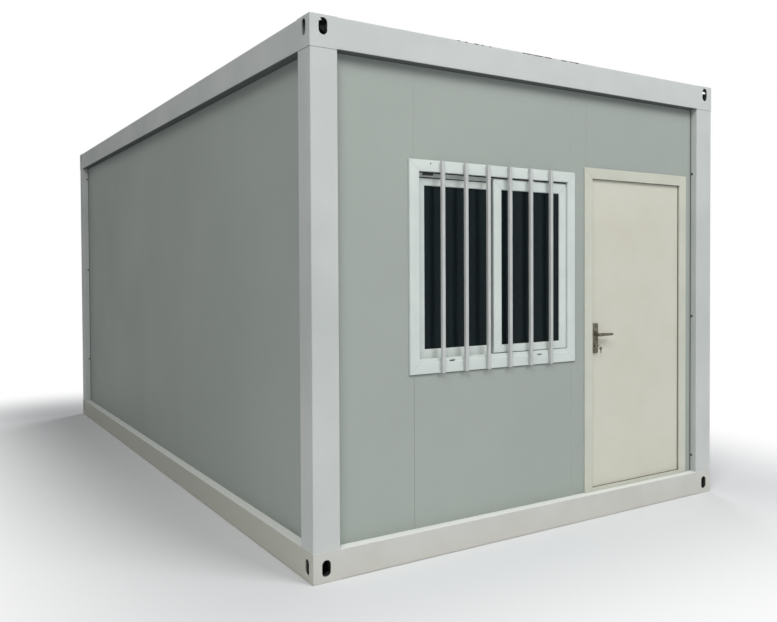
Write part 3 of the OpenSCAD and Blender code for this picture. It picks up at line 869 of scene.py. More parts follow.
def ring(low: Vector, high: Vector, section: Sequence[tuple[float, float]]) -> bmesh.types.BMesh:
    """Sweep a section round an upright rectangle with mitred corners.

    Args:
        low: Lowest corner of the rectangle, with the y that the section starts from.
        high: Highest corner.
        section: Points of the section in mm, as inwards from the rectangle and back along y.

    Returns:
        The closed shape.
    """
    shape = bmesh.new()
    corners = [(low.x, low.z, 1, 1), (low.x, high.z, 1, -1), (high.x, high.z, -1, -1), (high.x, low.z, -1, 1)]
    rows = []
    for x, z, right, up in corners:
        line = [(x + right * a * MM, low.y + b * MM, z + up * a * MM) for a, b in section]
        rows.append([shape.verts.new(point) for point in line])
    count = len(section)
    for i in range(4):
        here, there = rows[i], rows[(i + 1) % 4]
        for j in range(count):
            k = (j + 1) % count
            shape.faces.new((here[j], here[k], there[k], there[j]))
    bmesh.ops.recalc_face_normals(shape, faces=shape.faces)
    return shape


@dataclass
class GrownPiece:
    """A piece that geometry nodes grow from points or lines.

    Attributes:
        name: Name of the piece.
        finish: Its finish.
        body: Body that carries it.
        slot: Material slot of the record, or nothing; not used.
    """

    name: str
    finish: Finish
    body: Body = Body.BUILDING
    slot: str = ""

    def tree(self) -> bpy.types.NodeTree:
        """Give the tree that grows the piece."""
        raise NotImplementedError

    def seed(self) -> bpy.types.Mesh:
        """Give the points or lines that the piece grows from."""
        raise NotImplementedError

    def sizes(self) -> dict[str, Any]:
        """Give the values of the tree's named inputs."""
        raise NotImplementedError

    def build(self) -> bpy.types.Object:
        """Grow the piece and turn it into a plain mesh.

        Returns:
            The finished piece, riding on its body.
        """
        piece = bpy.data.objects.new(self.name, self.seed())
        bpy.context.collection.objects.link(piece)
        growth = piece.modifiers.new(self.name, "NODES")
        tree = self.tree()
        growth.node_group = tree
        for name, value in self.sizes().items():
            growth[tree.interface.items_tree[name].identifier] = value
        graph = bpy.context.evaluated_depsgraph_get()
        grown = bpy.data.meshes.new_from_object(piece.evaluated_get(graph))
        piece.modifiers.clear()
        piece.data = grown
        return place(piece, self.body)


def new_tree(name: str, inputs: Mapping[str, Socket]) -> tuple[bpy.types.NodeTree, bpy.types.Node]:
    """Start a tree of geometry nodes with named inputs.

    Args:
        name: Name of the tree.
        inputs: Kind of each input after the shape that the tree starts from.

    Returns:
        The tree and its input node.
    """
    tree = bpy.data.node_groups.new(name, "GeometryNodeTree")
    tree.interface.new_socket("Seed shape", in_out="INPUT", socket_type=Socket.SHAPE.value)
    for label, kind in inputs.items():
        tree.interface.new_socket(label, in_out="INPUT", socket_type=kind.value)
    tree.interface.new_socket("Grown shape", in_out="OUTPUT", socket_type=Socket.SHAPE.value)
    return tree, add(tree, "NodeGroupInput")


def end_tree(tree: bpy.types.NodeTree, shape: bpy.types.NodeSocket, finish: bpy.types.NodeSocket) -> None:
    """End a tree in real faces with their material.

    Args:
        tree: The tree.
        shape: What was grown.
        finish: The material.
    """
    real = add(tree, "GeometryNodeRealizeInstances", {"Geometry": shape})
    dressed = add(tree, "GeometryNodeSetMaterial", {"Geometry": real.outputs[0], "Material": finish})
    add(tree, "NodeGroupOutput", {0: dressed.outputs[0]})


@dataclass
class Fixings(GrownPiece):
    """Screws, bolts or rivets of one kind on one body.

    Attributes:
        shape: Shape of the heads.
        size_mm: Radius and height of a head, and radius of its washer.
        washer_t_mm: Thickness of the washer.
        spots: Place and facing of each head.
    """

    shape: HeadShape = HeadShape.PAN
    size_mm: tuple[float, float, float] = (4.0, 2.6, 4.6)
    washer_t_mm: float = 1.2
    spots: list[tuple[Vector, Vector]] = field(default_factory=list)

    def seed(self) -> bpy.types.Mesh:
        """Give one point for each head, with the way that it faces."""
        mesh = bpy.data.meshes.new(self.name)
        mesh.from_pydata([spot for spot, _ in self.spots], [], [])
        facing = mesh.attributes.new("facing", "FLOAT_VECTOR", "POINT")
        facing.data.foreach_set("vector", [v for _, way in self.spots for v in way])
        return mesh

    def sizes(self) -> dict[str, Any]:
        """Give the heads' sizes, seed and finish."""
        head, rise, washer = (size * MM for size in self.size_mm)
        return {
            "Head radius": head,
            "Head rise": rise,
            "Washer radius": washer,
            "Spin seed": SPIN_SEED,
            "Finish": self.finish.material(),
        }

    def tree(self) -> bpy.types.NodeTree:
        """Grow a washer and a head on each point, each head turned by chance.

        Returns:
            The tree.
        """
        sides, top_share = self.shape.value
        tree, source = new_tree(
            f"heads_{self.name}",
            {
                "Head radius": Socket.LENGTH,
                "Head rise": Socket.LENGTH,
                "Washer radius": Socket.LENGTH,
                "Spin seed": Socket.COUNT,
                "Finish": Socket.FINISH,
            },
        )
        radius, rise = source.outputs["Head radius"], source.outputs["Head rise"]
        washer_rise = self.washer_t_mm * MM
        washer = add(
            tree,
            "GeometryNodeMeshCone",
            {
                "Vertices": 16,
                "Radius Top": source.outputs["Washer radius"],
                "Radius Bottom": source.outputs["Washer radius"],
                "Depth": washer_rise,
            },
        )
        top = add(tree, "ShaderNodeMath", {0: radius, 1: top_share}, operation="MULTIPLY")
        head = add(
            tree,
            "GeometryNodeMeshCone",
            {"Vertices": sides, "Radius Top": top.outputs[0], "Radius Bottom": radius, "Depth": rise},
        )
        lifted = add(
            tree,
            "GeometryNodeTransform",
            {"Geometry": head.outputs[0], "Translation": (0.0, 0.0, washer_rise)},
        )
        shape = add(tree, "GeometryNodeJoinGeometry", {0: [washer.outputs[0], lifted.outputs[0]]})
        spin = add(
            tree,
            "FunctionNodeRandomValue",
            {2: 0.0, 3: math.tau, "Seed": source.outputs["Spin seed"]},
            data_type="FLOAT",
        )
        turn = add(tree, "ShaderNodeCombineXYZ", {"Z": spin.outputs[1]})
        start = add(tree, "FunctionNodeEulerToRotation", {0: turn.outputs[0]})
        way = add(tree, "GeometryNodeInputNamedAttribute", {"Name": "facing"}, data_type="FLOAT_VECTOR")
        aimed = add(
            tree,
            "FunctionNodeAlignRotationToVector",
            {"Rotation": start.outputs[0], "Vector": way.outputs[0]},
            axis="Z",
        )
        heads = add(
            tree,
            "GeometryNodeInstanceOnPoints",
            {"Points": source.outputs[0], "Instance": shape.outputs[0], "Rotation": aimed.outputs[0]},
        )
        end_tree(tree, heads.outputs[0], source.outputs["Finish"])
        return tree


@dataclass
class Bead(GrownPiece):
    """Round beads of rubber or sealant along lines.

    Attributes:
        radius_mm: Radius of the bead.
        turn_mm: Radius of its turns at corners.
        lines: Points of each line.
        closed: Whether the lines close into loops.
    """

    radius_mm: float = 2.0
    turn_mm: float = 4.0
    lines: list[list[Vector]] = field(default_factory=list)
    closed: bool = False

    def seed(self) -> bpy.types.Mesh:
        """Give the lines as edges."""
        points: list[Vector] = []
        edges: list[tuple[int, int]] = []
        for line in self.lines:
            first, count = len(points), len(line)
            points.extend(line)
            edges.extend((first + i, first + i + 1) for i in range(count - 1))
            if self.closed:
                edges.append((first + count - 1, first))
        mesh = bpy.data.meshes.new(self.name)
        mesh.from_pydata(points, edges, [])
        return mesh

    def sizes(self) -> dict[str, Any]:
        """Give the bead's radius, turns and finish."""
        return {
            "Bead radius": self.radius_mm * MM,
            "Turn radius": self.turn_mm * MM,
            "Finish": self.finish.material(),
        }

    def tree(self) -> bpy.types.NodeTree:
        """Sweep a circle along the lines.

        Returns:
            The tree.
        """
        tree, source = new_tree(
            f"bead_{self.name}",
            {"Bead radius": Socket.LENGTH, "Turn radius": Socket.LENGTH, "Finish": Socket.FINISH},
        )
        lines = add(tree, "GeometryNodeMeshToCurve", {"Mesh": source.outputs[0]})
        turned = add(
            tree,
            "GeometryNodeFilletCurve",
            {
                "Curve": lines.outputs[0],
                "Count": 3,
                "Radius": source.outputs["Turn radius"],
                "Limit Radius": True,
            },
            mode="POLY",
        )
        circle = add(
            tree,
            "GeometryNodeCurvePrimitiveCircle",
            {"Resolution": 8, "Radius": source.outputs["Bead radius"]},
        )
        swept = add(
            tree,
            "GeometryNodeCurveToMesh",
            {"Curve": turned.outputs[0], "Profile Curve": circle.outputs[0], "Fill Caps": True},
        )
        smooth = add(tree, "GeometryNodeSetShadeSmooth", {"Geometry": swept.outputs[0]})
        end_tree(tree, smooth.outputs[0], source.outputs["Finish"])
        return tree


def upright_loop(low: Vector, high: Vector, y: float) -> list[Vector]:
    """Give the four corners of an upright rectangle.

    Args:
        low: Corner with the lowest x and z.
        high: Corner with the highest x and z.
        y: Depth of the rectangle.

    Returns:
        The corners in order.
    """
    corners = ((low.x, low.z), (low.x, high.z), (high.x, high.z), (high.x, low.z))
    return [Vector((x, y, z)) for x, z in corners]


# Sub-assemblies


@dataclass
class SteelFrame:
    """Bolted steel frame: corner fittings, posts, base beams and roof beams.

    Attributes:
        edge_mm: Radius on the fittings' edges.
        rim_mm: Radius on the rims of their slots.
        end_bolts_mm: Heights of the bolts in the posts' returns at the front and back.
        side_bolts_mm: Heights of the bolts in the posts' returns at the sides.
        bolt_back_mm: Distance of the bolts in front of the wall.
        gasket_mm: Radius of the gasket between wall and post.
        gusset_mm: Start and end of a fitting's upright gusset, from its outer corner along both axes.
        gusset_t_mm: Thickness of that gusset.
        gusset_low_mm: Gap between the gusset and the fitting's top, which leaves the lug's hole free.
        gusset_edge_mm: Radius on the gusset's edges.
        bolt_mm: Radius and height of a bolt's head, and radius of its washer.
        gasket_end_mm: Distance of a gasket's ends from the post's ends.
    """

    edge_mm: float = 2.0
    rim_mm: float = 5.0
    end_bolts_mm: tuple[float, ...] = (266.0, 1226.0, 2202.0)
    side_bolts_mm: tuple[float, ...] = (605.0, 1560.0, 2528.0)
    bolt_back_mm: float = 13.0
    gasket_mm: float = 2.4
    gusset_mm: tuple[float, float] = (22.0, 140.0)
    gusset_t_mm: float = 5.0
    gusset_low_mm: float = 40.0
    gusset_edge_mm: float = 0.8
    bolt_mm: tuple[float, float, float] = (5.5, 5.0, 8.0)
    gasket_end_mm: float = 3.0

    def dress(self) -> None:
        """Paint the posts and beams."""
        for corner in Corner:
            FRAME_PAINT.dress(f"corner_post_{corner.name.lower()}")
        for side in Side:
            BASE_PAINT.dress(f"base_beam_{side.value}")
            (CHIPPED_PAINT if side is Side.FRONT else FRAME_PAINT).dress(f"roof_beam_{side.value}")

    def build_fittings(self) -> None:
        """Round the edges of the welded corner fittings."""
        for corner in Corner:
            for level, finish in (("base", BASE_PAINT), ("roof", FRAME_PAINT)):
                node = f"{level}_corner_{corner.name.lower()}"
                low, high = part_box(node)
                sx, sy = corner.value
                welds = ((0, low.x if sx > 0 else high.x), (1, low.y if sy > 0 else high.y))
                piece = softened(node, self.edge_mm, finish, welds, self.rim_mm)
                place(piece, Body.BUILDING, [node])

    def build_gussets(self) -> None:
        """Stand a plate across each fitting behind its slots, dark as painted shade in the hollow."""
        start, end = (v * MM for v in self.gusset_mm)
        half = self.gusset_t_mm * MM / 2
        for corner in Corner:
            sx, sy = corner.value
            side = Vector((sx, -sy, 0.0)).normalized() * half
            for level in ("base", "roof"):
                name = f"{level}_corner_{corner.name.lower()}"
                low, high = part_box(name)
                outer = Vector((high.x if sx > 0 else low.x, high.y if sy > 0 else low.y, 0.0))
                inward = Vector((-sx, -sy, 0.0))
                foot, top = low.z + self.gusset_t_mm * MM, high.z - self.gusset_low_mm * MM
                shape = bmesh.new()
                plan = [outer + inward * start - side, outer + inward * end - side]
                plan += [outer + inward * end + side, outer + inward * start + side]
                rows = [[shape.verts.new((spot.x, spot.y, z)) for spot in plan] for z in (foot, top)]
                shape.faces.new(rows[0])
                shape.faces.new(rows[1])
                for i in range(4):
                    j = (i + 1) % 4
                    shape.faces.new((rows[0][i], rows[0][j], rows[1][j], rows[1][i]))
                bmesh.ops.recalc_face_normals(shape, faces=shape.faces)
                round_edges(shape, shape.edges[:], self.gusset_edge_mm)
                place(mesh_object(f"{name}_gusset", shape, INNER_SHADE_COAT), Body.BUILDING)

    def build_bolts(self) -> None:
        """Set bolts in the posts' returns, just in front of the wall."""
        wall = abs(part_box("left_wall")[0].x) + self.bolt_back_mm * MM
        end = abs(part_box("front_wall_left")[0].y) + self.bolt_back_mm * MM
        spots = []
        for corner in Corner:
            sx, sy = corner.value
            low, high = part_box(f"corner_post_{corner.name.lower()}")
            x = low.x if sx > 0 else high.x
            y = low.y if sy > 0 else high.y
            for z in self.end_bolts_mm:
                spots.append((Vector((x, sy * end, z * MM)), Vector((-sx, 0, 0))))
            for z in self.side_bolts_mm:
                spots.append((Vector((sx * wall, y, z * MM)), Vector((0, -sy, 0))))
        # The bolts' dark grey is painted shade.
        Fixings(
            "post_bolts",
            ZINC_IN_PAINTED_SHADE,
            slot="hinge_steel",
            shape=HeadShape.HEX,
            size_mm=self.bolt_mm,
            spots=spots,
        ).build()

    def build_gaskets(self) -> None:
        """Run a rubber gasket down each line where a wall meets a post, and a dark bead along the walls'
        heads as painted shadow under the roof beams.
        """
        lines = []
        wall_x, wall_y = abs(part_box("left_wall")[0].x), abs(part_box("front_wall_left")[0].y)
        inset = self.gasket_mm * MM * CORNER_BEAD
        for corner in Corner:
            sx, sy = corner.value
            low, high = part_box(f"corner_post_{corner.name.lower()}")
            x = low.x if sx > 0 else high.x
            y = low.y if sy > 0 else high.y
            ends = (low.z + self.gasket_end_mm * MM, high.z - self.gasket_end_mm * MM)
            lines.append([Vector((x - sx * inset, sy * (wall_y + inset), z)) for z in ends])
            lines.append([Vector((sx * (wall_x + inset), y - sy * inset, z)) for z in ends])
        Bead("post_gaskets", GREY_RUBBER_AND_SHADE, radius_mm=self.gasket_mm, lines=lines).build()
        # Painted shadow: a dark bead where the walls meet the roof beams.
        reach_x, reach_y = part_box("corner_post_back_right")[0].xy
        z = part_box("roof_beam_front")[0].z - self.gasket_mm * MM * FACE_BEAD
        heads = []
        for way in (-1, 1):
            heads.append([Vector((x, way * (wall_y + inset), z)) for x in (-reach_x, reach_x)])
            heads.append([Vector((way * (wall_x + inset), y, z)) for y in (-reach_y, reach_y)])
        Bead("head_shade_lines", GREY_RUBBER_AND_SHADE, radius_mm=self.gasket_mm, lines=heads).build()

    def build(self) -> None:
        """Build and paint the frame."""
        self.dress()
        self.build_fittings()
        self.build_gussets()
        self.build_bolts()
        self.build_gaskets()


@dataclass
class WallPanels:
    """Sandwich panels of the four walls.

    Attributes:
        sides: Nodes of the walls without openings.
        front: Names of the front wall's panels.
        joints: Front panels whose joint is filled flush, as left and right.
        fill_mm: Radius of the filling.
        fill_end_mm: Distance of the filling's ends from the panels' ends.
    """

    sides: tuple[str, ...] = ("left_wall", "right_wall", "back_wall")
    front: tuple[str, ...] = ("left", "under_window", "over_window", "middle", "over_door", "right")
    joints: tuple[tuple[str, str], ...] = (
        ("left", "over_window"),
        ("over_window", "middle"),
        ("under_window", "middle"),
        ("middle", "over_door"),
        ("over_door", "right"),
    )
    fill_mm: float = 0.75
    fill_end_mm: float = 3.0

    def build(self) -> None:
        """Dress the panels and fill their joints."""
        PANEL_SKIN.dress(*self.sides, *(f"front_wall_{name}" for name in self.front))
        lines = []
        for left, right in self.joints:
            left_low, left_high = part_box(f"front_wall_{left}")
            right_low, right_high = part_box(f"front_wall_{right}")
            x, y = (left_high.x + right_low.x) / 2, left_low.y + self.fill_mm * MM
            foot = max(left_low.z, right_low.z) + self.fill_end_mm * MM
            top = min(left_high.z, right_high.z) - self.fill_end_mm * MM
            lines.append([Vector((x, y, z)) for z in (foot, top)])
        Bead("joint_fill", PANEL_SKIN, radius_mm=self.fill_mm, lines=lines).build()


@dataclass
class Window:
    """Sliding window with two sashes behind square bars.

    Attributes:
        edge_mm: Radius on the profiles' edges.
        gasket_mm: Radius of the glazing gasket.
        gasket_in_mm: Distance of that gasket inside the pane's edge.
        sealant_mm: Radius of the sealant round the casing.
        pile_mm: Radius of the wool pile in the tracks.
        pile_end_mm: Distance of the piles' ends from the sashes' sides.
        pile_head_mm: Height of the head's pile above the sashes.
        pile_foot_mm: Height of the sill's pile above the sashes' foot.
        pile_back_mm: Depth of the head's pile behind the outer sash's front.
        stile_mm: Distance of the outer sash's stile from its pane's edge.
        stile_pile_mm: Distance of the stile's pile beside the stile and in front of the tracks' middle.
        sill_pile_mm: Radius of the sill's pile.
        sill_rise_mm: Rise of the sill's pile at the meeting stile.
        head_gap_mm: Open height between a sash and the window's head.
        rib_drop_mm: Drop of the head's rib below the opening's upper edge.
        weep_mm: Length, depth and height of a weep slot's dark cover, whose black is painted shade of the
            slot.
        weep_edge_mm: Radius on its edges.
        weeps_mm: Place of each weep slot along x and z.
        block_mm: Length, depth and height of the anti-lift block.
        block_at_mm: Left end of the block along x, and depth of its middle behind the outer sash's front.
        block_edge_mm: Radius on its edges.
        screw_mm: Place of the casing's screw along x and z.
        screw_head_mm: Radius and height of its head, and radius of its washer.
        casing_mm: Face width and thickness of the casing.
        casing_bevel_mm: Bevel of the casing's edges.
        sash_mm: Face width of a sash's profile, and the depth that it holds the pane to.
        sash_bevel_mm: Bevel of a sash's inner edge.
        seam_mm: Radius of the weld seams in the mitres.
        seam_sunk: Depth of a seam's middle behind the face, as a share of its radius.
    """

    edge_mm: float = 1.2
    gasket_mm: float = 1.8
    gasket_in_mm: float = 11.0
    sealant_mm: float = 2.5
    pile_mm: float = 3.0
    pile_end_mm: float = 6.0
    pile_head_mm: float = 8.0
    pile_foot_mm: float = 12.5
    pile_back_mm: float = 4.0
    stile_mm: float = 53.0
    stile_pile_mm: tuple[float, float] = (2.0, 1.0)
    sill_pile_mm: float = 2.25
    sill_rise_mm: float = 1.2
    head_gap_mm: float = 11.0
    rib_drop_mm: float = 28.0
    weep_mm: tuple[float, float, float] = (34.0, 1.6, 6.0)
    weep_edge_mm: float = 0.5
    weeps_mm: tuple[tuple[float, float], ...] = ((-642.0, 1052.0), (-16.0, 1046.0))
    block_mm: tuple[float, float, float] = (62.0, 16.0, 17.0)
    block_at_mm: tuple[float, float] = (-814.0, 10.0)
    block_edge_mm: float = 2.0
    screw_mm: tuple[float, float] = (-779.0, 2124.0)
    screw_head_mm: tuple[float, float, float] = (3.4, 1.6, 3.8)
    casing_mm: tuple[float, float] = (62.0, 12.0)
    casing_bevel_mm: float = 3.0
    sash_mm: tuple[float, float] = (60.0, 9.0)
    sash_bevel_mm: float = 4.0
    seam_mm: float = 0.8
    seam_sunk: float = 0.5

    def build_profiles(self) -> None:
        """Round the edges of the casing and the sashes."""
        for node in ("window_frame", "window_sashes"):
            place(softened(node, self.edge_mm, WINDOW_PROFILE), Body.BUILDING, [node])

    def panes(self) -> list[tuple[Vector, Vector]]:
        """Find the box of each pane.

        Returns:
            Lowest and highest corner of the outer and the inner pane.
        """
        low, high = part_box("window_glass")
        points = [v.co for v in NODES["window_glass"].data.vertices]
        middle = (low.y + high.y) / 2
        boxes = []
        for pane in ([p for p in points if p.y < middle], [p for p in points if p.y > middle]):
            axes = list(zip(*pane))
            boxes.append((Vector([min(axis) for axis in axes]), Vector([max(axis) for axis in axes])))
        return boxes

    def build_gaskets(self) -> None:
        """Run a rubber gasket round both faces of each pane, where the sash holds it."""
        inset = Vector((self.gasket_in_mm, 0, self.gasket_in_mm)) * MM
        proud = self.gasket_mm * MM * FACE_BEAD
        loops = []
        for low, high in self.panes():
            for y in (low.y - proud, high.y + proud):
                loops.append(upright_loop(low + inset, high - inset, y))
        Bead("glazing_gaskets", RUBBER, radius_mm=self.gasket_mm, lines=loops, closed=True).build()

    def build_sealant(self) -> None:
        """Run sealant up, over and down the casing's edge, and a dark bead along its foot as painted shadow
        under the casing.
        """
        low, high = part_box("window_frame")
        wall_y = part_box("front_wall_left")[0].y
        out = self.sealant_mm * MM * FACE_BEAD
        edge = Vector((out, 0, out))
        run = upright_loop(low - edge, high + edge, wall_y - out)
        foot = [run[0], run[-1]]
        Bead("casing_sealant", SILICONE, radius_mm=self.sealant_mm, lines=[run]).build()
        # Painted shadow: a dark bead along the casing's foot.
        Bead("casing_foot_shade_line", GREY_RUBBER_AND_SHADE, radius_mm=self.sealant_mm, lines=[foot]).build()

    def build_seams(self) -> None:
        """Lay a weld seam into the mitres of the casing and of both sashes."""
        frame_low, frame_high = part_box("window_frame")
        face, thick = self.casing_mm
        bevel = self.casing_bevel_mm
        sash_face, bite = self.sash_mm
        wall_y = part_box("front_wall_left")[0].y
        sash_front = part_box("window_sashes")[0].y
        out = Vector((sash_face - bite, 0, sash_face - bite)) * MM
        rims = [(frame_low, frame_high, wall_y - thick * MM, bevel, face - bevel)]
        for front, (low, high) in zip((sash_front, self.inner_front()), self.panes()):
            rims.append((low - out, high + out, front, 0.0, sash_face - self.sash_bevel_mm))
        sunk = self.seam_mm * MM * self.seam_sunk
        lines = []
        for low, high, y, *ends in rims:
            for x, right in ((low.x, 1), (high.x, -1)):
                for z, up in ((low.z, 1), (high.z, -1)):
                    lines.append([Vector((x + right * a * MM, y + sunk, z + up * a * MM)) for a in ends])
        Bead("mitre_seams", WELD_SEAM, radius_mm=self.seam_mm, lines=lines).build()

    def inner_front(self) -> float:
        """Find the front of the sash on the inner track.

        Returns:
            Its y.
        """
        (outer_low, _), (inner_low, _) = self.panes()
        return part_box("window_sashes")[0].y + inner_low.y - outer_low.y

    def build_piles(self) -> None:
        """Run wool pile along the head, under the rib, round the outer sash's foot and beside its stile; its
        dark grey also paints the shade in these gaps.
        """
        sash_low, sash_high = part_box("window_sashes")
        left, right = sash_low.x + self.pile_end_mm * MM, sash_high.x - self.pile_end_mm * MM
        meeting = self.panes()[0][0].x - self.stile_mm * MM
        head, foot = sash_high.z + self.pile_head_mm * MM, sash_low.z + self.pile_foot_mm * MM
        outer, middle = sash_low.y, (sash_low.y + sash_high.y) / 2
        track = outer + self.pile_back_mm * MM
        rib = sash_high.z + (self.head_gap_mm - self.rib_drop_mm) * MM
        side, front = meeting - self.stile_pile_mm[0] * MM, middle - self.stile_pile_mm[1] * MM
        # The piles' dark grey also paints the shade in the tracks' gaps.
        lines = [
            [Vector((left, track, head)), Vector((right, track, head))],
            [Vector((left, middle, rib)), Vector((meeting, middle, rib))],
            [Vector((side, front, foot)), Vector((side, front, head))],
        ]
        Bead("track_piles_and_shade", WOOL_PILE_AND_SHADE, radius_mm=self.pile_mm, lines=lines).build()
        sill = [Vector((meeting, outer, foot + self.sill_rise_mm * MM)), Vector((right, outer, foot))]
        Bead("sill_pile_and_shade", WOOL_PILE_AND_SHADE, radius_mm=self.sill_pile_mm, lines=[sill]).build()

    def build_weeps(self) -> None:
        """Set a dark cover on the sill for each weep slot, as painted shade in the slot."""
        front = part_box("window_frame")[0].y
        for number, (x, z) in enumerate(self.weeps_mm):
            shape = rounded_box(Vector((x * MM, front, z * MM)), self.weep_mm, self.weep_edge_mm)
            place(mesh_object(f"weep_slot_{number}", shape, BLACK_NYLON_AND_SHADE), Body.BUILDING)

    def build_block(self) -> None:
        """Fit the black anti-lift block into the empty end of the outer track."""
        length, _, height = self.block_mm
        left, back = self.block_at_mm
        sash_low, sash_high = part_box("window_sashes")
        z = sash_high.z + (self.head_gap_mm - height / 2) * MM
        middle = Vector(((left + length / 2) * MM, sash_low.y + back * MM, z))
        shape = rounded_box(middle, self.block_mm, self.block_edge_mm)
        place(mesh_object("anti_lift_block", shape, BLACK_NYLON_AND_SHADE), Body.BUILDING)

    def build_screw(self) -> None:
        """Drive the one screw that shows in the casing."""
        x, z = self.screw_mm
        spot = Vector((x * MM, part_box("window_frame")[0].y, z * MM))
        spots = [(spot, Vector((0, -1, 0)))]
        Fixings("casing_screw", ZINC_IN_PAINTED_SHADE, size_mm=self.screw_head_mm, spots=spots).build()

    def build(self) -> None:
        """Build and dress the window."""
        self.build_profiles()
        WINDOW_GLASS.dress("window_glass")
        BAR_PAINT.dress("window_bars")
        self.build_gaskets()
        self.build_sealant()
        self.build_seams()
        self.build_piles()
        self.build_weeps()
        self.build_block()
        self.build_screw()


@dataclass
class Door:
    """Hinged steel door in a pressed-steel frame, with a lever lock and its keys.

    Attributes:
        frame_edge_mm: Radius on the frame's pressed edges.
        leaf_edge_mm: Radius on the leaf's edges.
        lock_edge_mm: Radius on the lock plates and the lever.
        hinge_edge_mm: Radius on the hinges' edges.
        seal_mm: Width of the rubber seal, and its part past the frame's edge.
        sealant_mm: Radius of the sealant beside the frame.
        barrel_drop_mm: Distance from the plates' middle down to the key barrel.
        plate_mm: Thickness of a lock plate.
        screw_in_mm: Distance of a plate's screws from its ends.
        flap_mm: Thickness of a hinge flap.
        hinge_mm: Height of a hinge.
        hinge_count: Number of hinges.
        hinge_screws_mm: Distances of a hinge's screws from its middle.
        hinge_screw_in_mm: Distance of these screws from the flap's free edge.
        screw_head_mm: Radius and height of a screw's head, and radius of its washer.
        seal_gap_mm: Gap from the seal to the frame behind which it sits, and to the leaf.
        seal_lip_mm: Length of the seal's pointed lip.
        sealant_end_mm: Height of the sealant's ends above the jambs' feet.
        key_mm: Half thickness of a key, radius of its bow, and radius and rise of the bow's hole.
        key_sides: Number of sides of the bow.
        key_out_mm: Distance of the inserted key's bow in front of the plate.
        blade_mm: Outline of a key's blade, across and along it.
        spare_mm: Place of the spare key from the inserted one.
        spare_deg: Tilt of the spare key.
        ring_at_mm: Middle of the key ring from the inserted key.
        ring_mm: Radius of the key ring, of its wire, and of the turns between its points.
        ring_lean: Depth of the leaning ring as a share of its width.
        ring_sides: Number of points on the ring.
    """

    frame_edge_mm: float = 1.5
    leaf_edge_mm: float = 1.5
    lock_edge_mm: float = 1.4
    hinge_edge_mm: float = 0.4
    seal_mm: tuple[float, float] = (9.0, 3.2)
    sealant_mm: float = 2.2
    barrel_drop_mm: float = 45.0
    plate_mm: float = 8.0
    screw_in_mm: float = 12.0
    flap_mm: float = 2.5
    hinge_mm: float = 100.0
    hinge_count: int = 3
    hinge_screws_mm: tuple[float, ...] = (14.0, 36.0)
    hinge_screw_in_mm: float = 11.0
    screw_head_mm: tuple[float, float, float] = (3.4, 1.0, 3.6)
    seal_gap_mm: tuple[float, float] = (0.2, 0.5)
    seal_lip_mm: float = 2.0
    sealant_end_mm: float = 2.0
    key_mm: tuple[float, float, float, float] = (1.1, 10.5, 3.0, 4.0)
    key_sides: int = 20
    key_out_mm: float = 22.0
    blade_mm: tuple[tuple[float, float], ...] = (
        (-3.6, -9.0),
        (3.6, -9.0),
        (3.6, -16.0),
        (2.2, -19.0),
        (3.4, -22.0),
        (1.6, -25.0),
        (3.0, -28.0),
        (0.5, -33.0),
        (-3.6, -30.0),
    )
    spare_mm: tuple[float, float, float] = (17.0, -4.0, -17.0)
    spare_deg: float = -9.0
    ring_at_mm: tuple[float, float, float] = (9.0, -3.0, -3.0)
    ring_mm: tuple[float, float, float] = (9.5, 0.8, 0.5)
    ring_lean: float = 0.25
    ring_sides: int = 24

    def build_frame(self) -> None:
        """Round the edges of the pressed-steel frame."""
        for node in ("door_jamb_left", "door_jamb_right", "door_head", "door_threshold"):
            piece = softened(node, self.frame_edge_mm, DOOR_FRAME_PAINT)
            place(piece, Body.BUILDING, [node])

    def build_leaf(self) -> None:
        """Round the edges of the leaf."""
        place(softened("door_leaf", self.leaf_edge_mm, DOOR_PAINT), Body.DOOR, ["door_leaf"])

    def build_hardware(self) -> None:
        """Round the edges of the hinges, the lock plates and the lever."""
        for node, body in (("door_hinge_pins", Body.BUILDING), ("door_hinge_flaps", Body.DOOR)):
            place(softened(node, self.hinge_edge_mm, ZINC_PLATE), body, [node])
        for node, body in (("lock_plates", Body.DOOR), ("door_lever", Body.LEVER)):
            place(softened(node, self.lock_edge_mm, LOCK_BRONZE), body, [node])

    def build_seal(self) -> None:
        """Fix a flat rubber seal behind the frame's inner edge, clear of the leaf."""
        width, shown = self.seal_mm
        opening_low = Vector((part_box("door_jamb_left")[1].x, 0.0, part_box("door_threshold")[1].z))
        opening_high = Vector((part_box("door_jamb_right")[0].x, 0.0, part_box("door_head")[0].z))
        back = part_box("front_wall_left")[0].y
        out = (width - shown) * MM
        low = Vector((opening_low.x - out, back, opening_low.z - out))
        high = Vector((opening_high.x + out, back, opening_high.z + out))
        rear, clear = self.seal_gap_mm
        thick = (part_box("door_leaf")[0].y - back) / MM - clear
        lip = width - self.seal_lip_mm
        section = [(0.0, rear), (lip, rear), (width, thick * 0.5), (lip, thick), (0.0, thick)]
        place(mesh_object("door_seal", ring(low, high, section), SEAL_PVC), Body.BUILDING)

    def build_sealant(self) -> None:
        """Run sealant beside and over the frame on the wall."""
        low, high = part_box("door_head")
        wall_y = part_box("front_wall_left")[0].y
        out = self.sealant_mm * MM * FACE_BEAD
        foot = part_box("door_jamb_left")[0].z + self.sealant_end_mm * MM
        start, end = Vector((low.x - out, 0.0, foot)), Vector((high.x + out, 0.0, high.z + out))
        line = upright_loop(start, end, wall_y - out)
        Bead("door_sealant", SILICONE, radius_mm=self.sealant_mm, lines=[line]).build()

